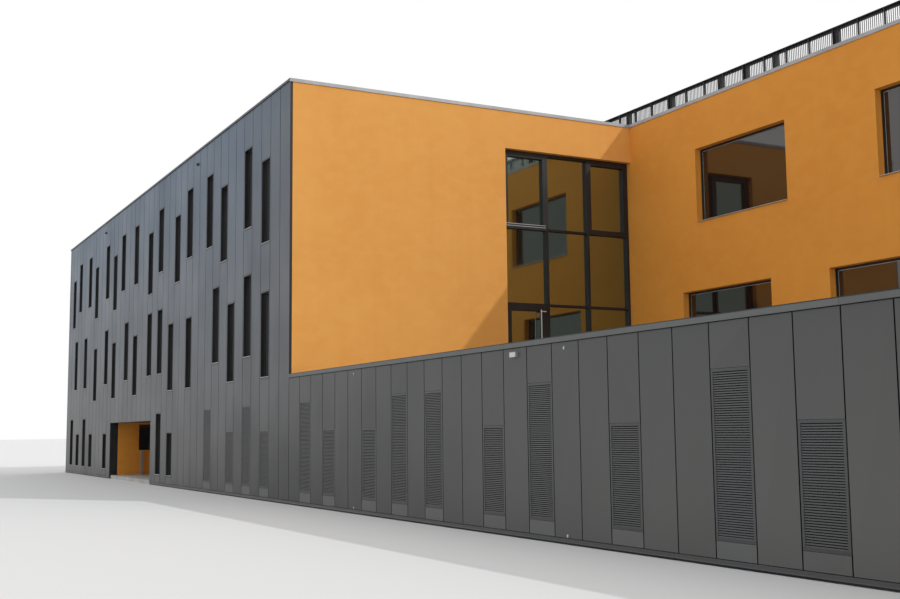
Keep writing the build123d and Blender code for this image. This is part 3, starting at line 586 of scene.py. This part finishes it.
def dark_glazing(name, ior, dark, haze, sheen=(1.0, 1.0, 1.0, 1.0)):
    """Coated double glazing, nearly black inside, with a faint uneven haze in each pane."""
    material, tree, shader = finish_material(name, 0.04)
    shader.inputs["IOR"].default_value = ior
    shader.inputs["Specular Tint"].default_value = sheen
    cloud = calc(tree, "MULTIPLY", noise(tree, 1.8, 4.0), cloud_share)
    dust = use(tree, streaks, Spacing=20.0)["Mask"]
    pane = put(tree, "ShaderNodeNewGeometry").outputs["Random Per Island"]
    share = calc(tree, "ADD", cloud, calc(tree, "MULTIPLY", dust, dust_share))
    share = calc(tree, "ADD", share, calc(tree, "MULTIPLY", pane, pane_share))
    tree.links.new(tint(tree, share, dark, haze), shader.inputs["Base Color"])
    tree.links.new(spread(tree, dust, 0.0, 1.0, glass_clean, glass_dusty), shader.inputs["Roughness"])
    relief(tree, shader, noise(tree, 1.1, 1.0), glass_sag)
    return material


frame_black = (0.0095, 0.0095, 0.010, 1.0)
frame_grey = (0.022, 0.022, 0.024, 1.0)
frame_edge = (0.07, 0.07, 0.075, 1.0)

slot_glass = dark_glazing("slot_glass", ior=1.35, dark=glass_dark, haze=glass_haze)
black_coating = coated_sheet(
    "black_frame_coating",
    frame_black,
    frame_grey,
    frame_edge,
    roughness=0.4,
    tone_spread=0.1,
    ripple=0.0006,
    specular=0.35,
)
dress(panel_sheet("front_surround_coating", tall_front_painted_light, None), "front_window_surrounds")
dress(panel_sheet("side_surround_coating", tall_wall_painted_sky, None), "side_window_surrounds")
dress(slot_glass, "front_window_glass", "side_window_glass")

aluminium_grey = (0.52, 0.53, 0.55, 1.0)
aluminium_bloom = (0.40, 0.41, 0.43, 1.0)
aluminium_edge = (0.66, 0.67, 0.69, 1.0)
aluminium_rain = (0.28, 0.28, 0.28, 1.0)
aluminium_rain_share = 0.4
aluminium_edge_share = 0.5
aluminium_edge_radius = 0.002
aluminium_shine = 0.06
aluminium_dulling = 0.1
aluminium_grain_depth = 0.0002


def mill_aluminium(name, metallic, roughness, bright=aluminium_grey, dull=aluminium_bloom):
    """Bare aluminium with a fine grain, a dull oxide bloom, rain marks and rubbed edges."""
    material, tree, shader = finish_material(name, roughness, metallic)
    texture = use(tree, grain, Fine_Scale=260.0, Patch_Scale=2.5, Patch_Share=0.6)
    bloom = patches(tree, texture, 0.12)
    base = tint(tree, bloom, bright, dull)
    rain = use(tree, streaks, Spacing=18.0)["Mask"]
    marked = tint(tree, calc(tree, "MULTIPLY", rain, aluminium_rain_share), base, aluminium_rain)
    edges = use(tree, worn, Radius=aluminium_edge_radius)
    bare = calc(tree, "MULTIPLY", edges["Mask"], aluminium_edge_share)
    tree.links.new(tint(tree, bare, marked, aluminium_edge), shader.inputs["Base Color"])
    dulled = spread(tree, bloom, 0.0, 1.0, roughness - aluminium_shine, roughness + aluminium_dulling)
    tree.links.new(dulled, shader.inputs["Roughness"])
    relief(tree, shader, texture["Height"], aluminium_grain_depth)
    return material


sill_metal = mill_aluminium("sill_aluminium", metallic=0.35, roughness=0.45)
dress(sill_metal, "front_window_sills")


def solids(name):
    """Lowest and highest corner of each separate solid in a node of the frame."""
    mesh = nodes[name].data
    groups = {}

    def root_of(key):
        while groups[key] != key:
            groups[key] = groups[groups[key]]
            key = groups[key]
        return key

    keys = [tuple(round(value, 4) for value in vertex.co) for vertex in mesh.vertices]
    for key in keys:
        groups.setdefault(key, key)
    for edge in mesh.edges:
        first, second = (root_of(keys[vertex]) for vertex in edge.vertices)
        groups[first] = second
    found = {}
    for key in groups:
        found.setdefault(root_of(key), []).append(key)
    boxes = [
        (Vector(min(axis) for axis in zip(*points)), Vector(max(axis) for axis in zip(*points)))
        for points in found.values()
    ]
    return sorted(boxes, key=lambda box: tuple(box[0]))


def outward(low, high):
    """Axis and sign of the way a flat upright solid faces, away from the building's middle."""
    axis = 0 if high.x - low.x < high.y - low.y else 1
    return axis, (1 if (low + high)[axis] > 0 else -1)


def ring(low, high, section, axis, sign):
    """A section of inset and depth pairs carried round an upright rectangle, mitred at its corners."""
    other = 1 - axis
    face = high[axis] if sign > 0 else low[axis]
    corners = []
    for inset, depth in section:
        for side, top in ((0, 0), (1, 0), (1, 1), (0, 1)):
            point = Vector((0, 0, 0))
            point[axis] = face + sign * depth
            point[other] = high[other] - inset if side else low[other] + inset
            point[2] = high.z - inset if top else low.z + inset
            corners.append(point)
    count = len(section)
    faces = []
    for n in range(count):
        after = (n + 1) % count
        for k in range(4):
            turn = (k + 1) % 4
            faces.append([4 * n + k, 4 * n + turn, 4 * after + turn, 4 * after + k])
    return corners, faces


glass_seat = 0.0003
slot_frame_face = 0.020
slot_frame_splay = 0.004
slot_frame_depth = 0.026
slot_reveal = 0.078
lining_sheet = 0.0016
slot_section = [
    (0.0, glass_seat),
    (slot_frame_face, glass_seat),
    (slot_frame_face - slot_frame_splay, slot_frame_depth),
    (lining_sheet, slot_frame_depth),
    (lining_sheet, slot_reveal),
    (0.0, slot_reveal),
]
slot_shapes = []
for name in ("front_window_glass", "side_window_glass"):
    for low, high in solids(name):
        slot_shapes.append(ring(low, high, slot_section, *outward(low, high)))
piece("slot_window_frames", slot_shapes, black_coating)

# The front sills are solids of the frame, and the other sides' sills stand as far out
sill_gap = 0.002
sill_sheet = 0.002
sill_drop = 0.006
sill_nose = 0.003
sill_fall = 0.008
sill_proud = front_y - solids("front_window_sills")[0][0].y
sill_reach = slot_reveal + sill_gap + sill_proud
sill_outline = [
    (slot_frame_depth, lining_sheet),
    (sill_reach, lining_sheet),
    (sill_reach, -sill_drop),
    (sill_reach + sill_sheet, -sill_drop),
    (sill_reach + sill_sheet, lining_sheet + sill_nose),
    (slot_frame_depth, lining_sheet + sill_fall),
]


def on_face(low, high, axis, sign, foot, clear):
    """Start, outward direction and run of a shape laid across a solid's outer face."""
    out = Vector((0, 0, 0))
    out[axis] = sign
    along = Vector((0, 0, 0))
    along[1 - axis] = high[1 - axis] - low[1 - axis] - 2 * clear
    start = Vector((low.x, low.y, foot))
    start[1 - axis] += clear
    start[axis] = high[axis] if sign > 0 else low[axis]
    return start, out, along


side_sills = []
for low, high in solids("side_window_glass"):
    start, out, along = on_face(low, high, *outward(low, high), low.z, lining_sheet)
    side_sills.append(prism(sill_outline, start, out, up_z, along))
piece("side_window_sills", side_sills, sill_metal)

surround_face = 0.024
strip_proud = 0.0008
strip_clear = 0.0003


def cover_strip(low, high, axis, sign, foot, head):
    """A thin strip across a solid's outer face, between two heights and just clear of its corners."""
    start, out, along = on_face(low, high, axis, sign, foot, strip_clear)
    outline = [(0, 0), (strip_proud, 0), (strip_proud, head - foot), (0, head - foot)]
    return prism(outline, start, out, up_z, along)


# Black strips over the head and foot of each surround stand for the shade there: painted shade.
slot_shade_strip_shapes = []
for name in ("front_window_surrounds", "side_window_surrounds"):
    for low, high in solids(name):
        axis, sign = outward(low, high)
        slot_shade_strip_shapes.append(cover_strip(low, high, axis, sign, low.z, low.z + surround_face))
        slot_shade_strip_shapes.append(cover_strip(low, high, axis, sign, high.z - surround_face, high.z))
piece("slot_window_shade_strips", slot_shade_strip_shapes, black_coating)

# Louvres
# Tall ventilation grilles fill some of the lowest bays, in plain frames with a darker ledge at the
# foot. Their folded metal blades slope down outwards before dark fly mesh. Each blade's lip is
# coated and catches the light, and the sheet behind it is painted dark: painted shade.
ledge_grey = (0.038, 0.038, 0.037, 1.0)
louvre_grey = (0.074, 0.075, 0.075, 1.0)
louvre_cool = (0.082, 0.085, 0.089, 1.0)
louvre_edge = (0.16, 0.16, 0.16, 1.0)
louvre_pitch = 0.01875
louvre_lip = 0.0112
louvre_sheet = 0.0012
louvre_run = 0.018
louvre_rise = 0.007
louvre_set_back = 0.003
louvre_gap = 0.0003
louvre_roughness = 0.5
louvre_tone = 0.05
louvre_ripple = 0.0004
ledge_gap = 0.0024

# The blades' sloping backs take the coating's painted shade.
blade_coating = coated_sheet(
    "louvre_blade_coating",
    louvre_grey,
    louvre_cool,
    louvre_edge,
    louvre_roughness,
    louvre_tone,
    louvre_ripple,
    face="Y",
)
ledge_coating = coated_sheet(
    "louvre_ledge_coating", ledge_grey, panel_grey, louvre_edge, louvre_roughness, louvre_tone, louvre_ripple
)
dress(dark_sheet, "louvre_frames")
dress(blade_coating, "louvre_blades")

blade_outline = [
    (0, 0),
    (louvre_sheet, 0),
    (louvre_sheet, louvre_lip - louvre_sheet),
    (louvre_run, louvre_lip + louvre_rise - louvre_sheet),
    (louvre_run, louvre_lip + louvre_rise),
    (0, louvre_lip),
]
blade_shapes = []
ledge_shapes = []
for low, high in solids("louvre_frames"):
    foot = low.z + surround_face
    head = high.z - surround_face
    blade_width = Vector((high.x - low.x - 2 * surround_face - 2 * louvre_gap, 0, 0))
    blade_x = low.x + surround_face + louvre_gap
    climb = head - foot - louvre_lip - louvre_rise - 2 * louvre_gap
    steps = math.ceil(climb / louvre_pitch)
    for n in range(steps + 1):
        start = Vector((blade_x, front_y + louvre_set_back, foot + louvre_gap + climb * n / steps))
        blade_shapes.append(prism(blade_outline, start, Vector((0, 1, 0)), up_z, blade_width))
    ledge_shapes.append(cover_strip(low, high, 1, -1, low.z, foot - ledge_gap))
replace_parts(piece("folded_louvre_blades", blade_shapes, blade_coating), "louvre_blades")
piece("louvre_ledges", ledge_shapes, ledge_coating)

mesh_wire = (0.018, 0.018, 0.018, 1.0)
mesh_dark = (0.004, 0.004, 0.004, 1.0)
mesh_wires_per_metre = 160.0
mesh_wire_depth = 0.0005
mesh_depth = 0.002
mesh_set_back = 0.048


def fly_mesh():
    """Fine black wire mesh, with wires both ways."""
    material, tree, shader = finish_material("fly_mesh", 0.8, specular=0.2)
    place = put(tree, "ShaderNodeTexCoord").outputs["Object"]
    parts = put(tree, "ShaderNodeSeparateXYZ", {0: place})
    wires = []
    for axis in ("X", "Z"):
        angle = calc(tree, "MULTIPLY", parts.outputs[axis], mesh_wires_per_metre * 2 * math.pi)
        wires.append(spread(tree, calc(tree, "SINE", angle), 0.2, 0.9, 0.0, 1.0))
    wire = calc(tree, "MAXIMUM", wires[0], wires[1])
    tree.links.new(tint(tree, wire, mesh_dark, mesh_wire), shader.inputs["Base Color"])
    relief(tree, shader, wire, mesh_wire_depth)
    return material


mesh_shapes = []
for low, high in solids("louvre_frames"):
    start = Vector((low.x + surround_face, front_y + mesh_set_back, low.z + surround_face))
    width = Vector((high.x - low.x - 2 * surround_face, 0, 0))
    tall = high.z - low.z - 2 * surround_face
    outline = [(0, 0), (mesh_depth, 0), (mesh_depth, tall), (0, tall)]
    mesh_shapes.append(prism(outline, start, Vector((0, 1, 0)), up_z, width))
piece("louvre_fly_mesh", mesh_shapes, fly_mesh())

# Rendered walls
# The walls round the terrace and in the porch carry a thin through-coloured orange render on
# insulation, floated by hand, so it keeps a fine grain, broad clouds and faint rain marks. The
# terrace's side wall and its screen lintel take a paler, yellower copy of the render, a painted
# sunlit tone.
render_orange = (0.70, 0.285, 0.039, 1.0)
render_deep = (0.665, 0.263, 0.034, 1.0)
render_washed = (0.72, 0.315, 0.052, 1.0)
# A paler, yellower copy of the orange: a painted sunlit tone for the terrace's side wall.
sunlit_tone_orange = (0.73, 0.342, 0.078, 1.0)
sunlit_tone_deep = (0.70, 0.318, 0.069, 1.0)
sunlit_tone_washed = (0.75, 0.375, 0.100, 1.0)
render_stain = (0.52, 0.20, 0.034, 1.0)
render_washed_share = 0.4
render_stain_share = 0.12
float_mark_height = 1.6
render_grain_depth = 0.0009


def orange_render(name, orange, deep, washed):
    """Orange render with broad clouds, the sweeps of the float, and faint rain marks."""
    material, tree, shader = finish_material(name, 0.82, specular=0.35)
    texture = use(tree, grain, Fine_Scale=330.0, Patch_Scale=1.1, Patch_Share=0.8)
    clouds = tint(tree, patches(tree, texture, 0.12), deep, orange)
    sweep = spread(tree, noise(tree, 4.5, 5.0, (1.0, 1.0, 1.6)), 0.42, 0.66, 0.0, render_washed_share)
    floated = tint(tree, sweep, clouds, washed)
    rain = use(tree, streaks, Spacing=7.0)["Mask"]
    marked = tint(tree, calc(tree, "MULTIPLY", rain, render_stain_share), floated, render_stain)
    tree.links.new(marked, shader.inputs["Base Color"])
    float_marks = calc(tree, "MULTIPLY", noise(tree, 16.0, 4.0), float_mark_height)
    relief(tree, shader, calc(tree, "ADD", texture["Height"], float_marks), render_grain_depth)
    return material


# The other walls keep the plain orange; the side wall's copy is painted sunlit.
plain_render = orange_render("orange_render", render_orange, render_deep, render_washed)
sunlit_tone_render = orange_render("painted_sunlit_render", sunlit_tone_orange, sunlit_tone_deep, sunlit_tone_washed)
dress(sunlit_tone_render, "terrace_side_wall", "terrace_screen_lintel")
dress(plain_render, "terrace_back_wall", "porch_side_walls", "porch_back_wall")

# Porch
# The entrance porch is cut into the block: a dark painted metal ceiling, a square pale post under
# the side window and a black glazed screen at the back.
ceiling_grey = (0.070, 0.068, 0.067, 1.0)
ceiling_cool = (0.085, 0.083, 0.083, 1.0)
post_grey = (0.22, 0.225, 0.235, 1.0)
post_cool = (0.26, 0.265, 0.28, 1.0)
painted_edge = (0.3, 0.3, 0.3, 1.0)
porch_dark = (0.010, 0.011, 0.013, 1.0)
porch_haze = (0.028, 0.030, 0.034, 1.0)


def painted_metal(name, colour, cool):
    """Smooth metal under a satin paint."""
    return coated_sheet(name, colour, cool, painted_edge, roughness=0.5, tone_spread=0.04, ripple=0.001)


dress(painted_metal("porch_ceiling_coating", ceiling_grey, ceiling_cool), "porch_ceiling")
dress(painted_metal("porch_post_coating", post_grey, post_cool), "porch_post")
dress(dark_glazing("porch_glass", ior=1.6, dark=porch_dark, haze=porch_haze), "porch_glass")
dress(black_coating, "entrance_screen")

# Terrace screen
# A tall black aluminium screen stands in the terrace's side wall by its inner corner, with fixed
# panes, two sashes and a door. Its solar glass mirrors the orange walls in brown.
solar_dark = (0.004, 0.0042, 0.004, 1.0)
solar_haze = (0.014, 0.012, 0.009, 1.0)
solar_sheen = (0.82, 1.0, 0.88, 1.0)
mirror_glass = dark_glazing("solar_glass", ior=3.7, dark=solar_dark, haze=solar_haze, sheen=solar_sheen)
dress(mirror_glass, "terrace_screen_glass", "terrace_door_glass")
dress(black_coating, "terrace_screen", "terrace_screen_sashes", "terrace_door")

bar_bright = (0.80, 0.81, 0.82, 1.0)
bar_dull = (0.66, 0.67, 0.68, 1.0)
bar_steel = mill_aluminium("pull_bar_steel", metallic=0.3, roughness=0.3, bright=bar_bright, dull=bar_dull)
dress(bar_steel, "door_pull_bar")

# The sash nearer the front has a bright drip at the top and at the foot of its lower rail
sash_face = 0.054
drip_height = 0.006
drip_proud = 0.005
drip_clear = 0.012
drip_outline = [(0, 0), (drip_proud, -drip_height / 2), (drip_proud, 0), (0, drip_height)]
drip_shapes = []
sash_low, sash_high = solids("terrace_screen_sashes")[0]
drip_length = Vector((0, sash_high.y - sash_low.y - 2 * drip_clear, 0))
for rise in (drip_clear, sash_face - drip_height):
    start = Vector((sash_high.x, sash_low.y + drip_clear, sash_low.z + rise))
    drip_shapes.append(prism(drip_outline, start, Vector((1, 0, 0)), up_z, drip_length))
piece("sash_drips", drip_shapes, sill_metal)

gasket_face = 0.009
gasket_nose = 0.006
gasket_shoulder = 0.007
gasket_depth = 0.009
gasket_section = [
    (0.0, glass_seat),
    (gasket_face, glass_seat),
    (gasket_nose, gasket_shoulder),
    (0.0, gasket_depth),
]
gasket_shapes = []
for name in ("terrace_screen_glass", "terrace_door_glass"):
    for low, high in solids(name):
        gasket_shapes.append(ring(low, high, gasket_section, 0, 1))
piece("screen_gaskets", gasket_shapes, black_coating)

# Wide windows
# Wide lights are cut through the terrace's back wall. Each has a stepped reveal with a dark bead
# in the step, a black frame, double glazing with a bright spacer bar, and a pale sill.
wide_dark = (0.010, 0.006, 0.005, 1.0)
wide_haze = (0.027, 0.016, 0.012, 1.0)
spacer_face = 0.007
spacer_inset = 0.0015
spacer_seat = 0.0001
spacer_proud = 0.0006
bead_face = 0.008
bead_depth = 0.010

dress(black_coating, "terrace_window_frames")
wide_glass = dark_glazing("wide_window_glass", ior=1.8, dark=wide_dark, haze=wide_haze)
dress(wide_glass, "terrace_window_glass")
dress(sill_metal, "terrace_window_sills")

spacer_section = [
    (spacer_inset, spacer_seat),
    (spacer_inset + spacer_face, spacer_seat),
    (spacer_inset + spacer_face, spacer_proud),
    (spacer_inset, spacer_proud),
]
spacer_shapes = [ring(low, high, spacer_section, 1, -1) for low, high in solids("terrace_window_glass")]
spacer_metal = mill_aluminium("spacer_aluminium", metallic=0.3, roughness=0.4)
piece("window_spacer_bars", spacer_shapes, spacer_metal)

bead_section = [(0.0, 0.0), (bead_face, 0.0), (bead_face, bead_depth), (0.0, bead_depth)]
bead_shapes = [ring(low, high, bead_section, 1, -1) for low, high in solids("terrace_window_frames")]
piece("window_reveal_beads", bead_shapes, black_coating)

# Copings
# Folded caps close the tops of the walls: dark ones over the panels and on the podium, mill
# aluminium ones over the orange render. Lengths butt with narrow joints. A black strip lines the
# outer top edge of the podium's, and a paler strip, a painted highlight, lines that of the others.
coping_edge = (0.2, 0.2, 0.2, 1.0)
coping_grey = (0.040, 0.041, 0.043, 1.0)
coping_cool = (0.055, 0.060, 0.070, 1.0)
podium_grey = (0.098, 0.104, 0.101, 1.0)
podium_cool = (0.113, 0.121, 0.119, 1.0)
cap_bright = (0.40, 0.405, 0.415, 1.0)
cap_bloom = (0.33, 0.335, 0.345, 1.0)
top_edge_height = 0.008
same_edge = 0.001

dark_cap = coated_sheet("dark_coping_coating", coping_grey, coping_cool, coping_edge, roughness=0.45)
podium_cap = coated_sheet("podium_coping_coating", podium_grey, podium_cool, coping_edge, roughness=0.5)
pale_cap = mill_aluminium(
    "coping_aluminium", metallic=0.25, roughness=0.5, bright=cap_bright, dull=cap_bloom
)
dress(dark_cap, "dark_coping", "roof_spouts")
dress(podium_cap, "podium_coping")
dress(pale_cap, "pale_coping")


def top_edge_strips(name):
    """Strips along the top edge of each coping length that faces outwards."""
    whole_low, whole_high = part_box(name)
    shapes = []
    for low, high in solids(name):
        for axis, sign in ((0, 1), (0, -1), (1, 1), (1, -1)):
            edge = high[axis] if sign > 0 else low[axis]
            end = whole_high[axis] if sign > 0 else whole_low[axis]
            if abs(edge - end) < same_edge:
                shapes.append(cover_strip(low, high, axis, sign, high.z - top_edge_height, high.z))
    return shapes


# The podium coping's top edge gets a black strip; the dark coping's gets a paler one, a painted highlight.
piece("podium_coping_top_line", top_edge_strips("podium_coping"), black_coating)
piece("dark_coping_painted_highlight", top_edge_strips("dark_coping"), podium_cap)

# Roof railing
# Behind the terrace wall's parapet runs a railing of thin posts and close upright bars under a
# flat handrail, with a frame of wide posts behind it, all in dark coated steel.
railing_grey = (0.040, 0.041, 0.044, 1.0)
railing_cool = (0.055, 0.057, 0.062, 1.0)
railing_edge = (0.12, 0.12, 0.12, 1.0)
railing_coating = coated_sheet(
    "railing_coating",
    railing_grey,
    railing_cool,
    railing_edge,
    roughness=0.45,
    tone_spread=0.08,
    ripple=0.0006,
)
dress(railing_coating, "railing_frame")
dress(black_coating, "railing_posts", "railing_handrail")

bar_spaces = 13
bar_thickness = 0.0025
bar_width = 0.014
bar_foot_tuck = 0.002
bar_head_tuck = 0.001
lower_rail_rise = 0.022
lower_rail_height = 0.012
lower_rail_half = 0.012
lower_rail_edge = 0.001
rail_low, rail_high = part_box("railing_handrail")
lower_rail_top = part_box("pale_coping")[1].z + lower_rail_rise
bar_outline = [
    (-bar_thickness / 2, -bar_width / 2),
    (bar_thickness / 2, -bar_width / 2),
    (bar_thickness / 2, bar_width / 2),
    (-bar_thickness / 2, bar_width / 2),
]
railing_y = (rail_low.y + rail_high.y) / 2
post_middles = [(low.x + high.x) / 2 for low, high in solids("railing_posts")]
bar_pitch = (post_middles[1] - post_middles[0]) / bar_spaces
first_bar = -int((post_middles[0] - rail_low.x) / bar_pitch)
last_bar = int((rail_high.x - post_middles[0]) / bar_pitch)
bar_shapes = []
for n in range(first_bar, last_bar + 1):
    if n % bar_spaces == 0:
        continue
    start = Vector((post_middles[0] + bar_pitch * n, railing_y, lower_rail_top - bar_foot_tuck))
    tall = Vector((0, 0, rail_low.z - start.z + bar_head_tuck))
    bar_shapes.append(prism(bar_outline, start, Vector((1, 0, 0)), Vector((0, 1, 0)), tall))
lower_outline = [
    (-lower_rail_half, 0),
    (lower_rail_half, 0),
    (lower_rail_half, lower_rail_height),
    (-lower_rail_half, lower_rail_height),
]
lower_start = Vector((rail_low.x, railing_y, lower_rail_top - lower_rail_height))
lower_run = Vector((rail_high.x - rail_low.x, 0, 0))
lower_rail = prism(lower_outline, lower_start, Vector((0, 1, 0)), up_z, lower_run)
piece("railing_bars", bar_shapes, black_coating)
piece("railing_lower_rail", [lower_rail], black_coating, bevel=lower_rail_edge)

# Wall lamp and clamps
# A small die-cast lamp is screwed to a podium panel, with a frosted face. Small bright clamps are
# fixed in pairs on two other panels, near their middle, one at the foot and one near the top.
clamp_panels = (5.45, 16.48)
clamp_heights = (0.062, 1.790)
clamp_width = 0.022
clamp_height = 0.030
clamp_depth = 0.006
clamp_edge = 0.001
dress(mill_aluminium("lamp_metal", metallic=0.6, roughness=0.4), "wall_lamp")

clamp_outline = [
    (0, 0),
    (clamp_depth / 2, 0),
    (clamp_depth, clamp_height / 4),
    (clamp_depth, 3 * clamp_height / 4),
    (clamp_depth / 2, clamp_height),
    (0, clamp_height),
]
clamp_shapes = []
clamp_run = Vector((clamp_width, 0, 0))
for panel in clamp_panels:
    for level in clamp_heights:
        start = Vector((corner_x + panel * panel_pitch - clamp_width / 2, front_y, level))
        clamp_shapes.append(prism(clamp_outline, start, Vector((0, -1, 0)), up_z, clamp_run))
clamp_metal = mill_aluminium("clamp_metal", metallic=0.3, roughness=0.4)
piece("panel_clamps", clamp_shapes, clamp_metal, bevel=clamp_edge)

lamp_low, lamp_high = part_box("wall_lamp")
lamp_rim = 0.006
lens_depth = 0.0012
lens_chamfer = 0.0009
lens_edge = 0.0004
lens_grain_depth = 0.0003
lens_white = (0.62, 0.62, 0.60, 1.0)
lens_dull = (0.50, 0.50, 0.47, 1.0)


def frosted_lens():
    """Frosted plastic with a fine grain."""
    material, tree, shader = finish_material("frosted_lens", 0.55)
    texture = use(tree, grain, Fine_Scale=900.0, Patch_Scale=20.0, Patch_Share=0.5)
    tree.links.new(tint(tree, texture["Tone"], lens_dull, lens_white), shader.inputs["Base Color"])
    relief(tree, shader, texture["Height"], lens_grain_depth)
    return material


lens_start = Vector((lamp_low.x + lamp_rim, lamp_low.y, lamp_low.z + lamp_rim))
lens_width = Vector((lamp_high.x - lamp_low.x - 2 * lamp_rim, 0, 0))
lens_tall = lamp_high.z - lamp_low.z - 2 * lamp_rim
lens_outline = [(0, 0), (lens_depth, lens_chamfer), (lens_depth, lens_tall - lens_chamfer), (0, lens_tall)]
lens_shape = prism(lens_outline, lens_start, Vector((0, -1, 0)), up_z, lens_width)
piece("lamp_lens", [lens_shape], frosted_lens(), bevel=lens_edge)

# Studio floor
# A plain pale floor for the studio, far wider than the building, which takes its shadow.
# It lies a little below the building's foot and isn't part of it.
floor_colour = (0.72, 0.72, 0.72, 1.0)
floor_half = 400.0
floor_drop = 0.002
floor_mesh = bpy.data.meshes.new("studio_floor")
floor_signs = [(-1, -1), (1, -1), (1, 1), (-1, 1)]
floor_corners = [(x * floor_half, y * floor_half, -floor_drop) for x, y in floor_signs]
floor_mesh.from_pydata(floor_corners, [], [[0, 1, 2, 3]])
floor = bpy.data.objects.new("studio_floor", floor_mesh)
bpy.context.scene.collection.objects.link(floor)
floor_material, _, floor_shader = finish_material("studio_floor", 0.9, specular=0.1)
floor_shader.inputs["Base Color"].default_value = floor_colour
floor_mesh.materials.append(floor_material)

# Studio light
# A wide even white surround lights all sides, and one soft lamp stands high behind the rear
# wing, so the top of the terrace's side wall is lit and a slanting shadow crosses it.
surround_white = (1.0, 1.0, 1.0, 1.0)
surround_level = 0.95
seen_level = 1.0
key_slope = 1.22
key_aside = 1.4
key_strength = 1.2
key_softness = 0.012

world = bpy.data.worlds.new("studio")
world.use_nodes = True
bpy.context.scene.world = world
surround = world.node_tree
surround.nodes.clear()
lit = put(surround, "ShaderNodeBackground", {"Color": surround_white, "Strength": surround_level})
seen = put(surround, "ShaderNodeBackground", {"Color": surround_white, "Strength": seen_level})
path = put(surround, "ShaderNodeLightPath")
shows = calc(surround, "MAXIMUM", path.outputs["Is Camera Ray"], path.outputs["Is Glossy Ray"])
shows = calc(surround, "MAXIMUM", shows, path.outputs["Is Transmission Ray"])
both = put(surround, "ShaderNodeMixShader", {0: shows, 1: lit.outputs[0], 2: seen.outputs[0]})
put(surround, "ShaderNodeOutputWorld", {0: both.outputs[0]})

key_data = bpy.data.lights.new("key_lamp", "SUN")
key_data.energy = key_strength
key_data.angle = key_softness
key = bpy.data.objects.new("key_lamp", key_data)
bpy.context.scene.collection.objects.link(key)
key.rotation_mode = "QUATERNION"
key.rotation_quaternion = Vector((-key_aside, -1.0, -key_slope)).to_track_quat("-Z", "Y")

# Camera
# It stands in front of the podium near its far right end, low and tipped up a little. Its lens
# and turns were worked out from the building's level lines, uprights and panel joints.
camera_lens = 46.518
camera_turn = math.radians(62.079)
camera_tip = math.radians(6.496)
camera_roll = math.radians(-0.598)
camera_place = Vector((18.8058, -11.9060, 1.0372))
camera_far = 1000.0

flat_ahead = Vector((-math.sin(camera_turn), math.cos(camera_turn), 0))
flat_right = Vector((math.cos(camera_turn), math.sin(camera_turn), 0))
ahead = flat_ahead * math.cos(camera_tip) + up_z * math.sin(camera_tip)
above = up_z * math.cos(camera_tip) - flat_ahead * math.sin(camera_tip)
right = flat_right * math.cos(camera_roll) + above * math.sin(camera_roll)
above = above * math.cos(camera_roll) - flat_right * math.sin(camera_roll)
camera_data = bpy.data.cameras.new("camera")
camera_data.lens = camera_lens
camera_data.clip_end = camera_far
camera = bpy.data.objects.new("camera", camera_data)
bpy.context.scene.collection.objects.link(camera)
camera_facing = Matrix((right, above, -ahead)).transposed().to_4x4()
camera.matrix_world = Matrix.Translation(camera_place) @ camera_facing
bpy.context.scene.camera = camera

bpy.context.scene.view_settings.view_transform = "Standard"
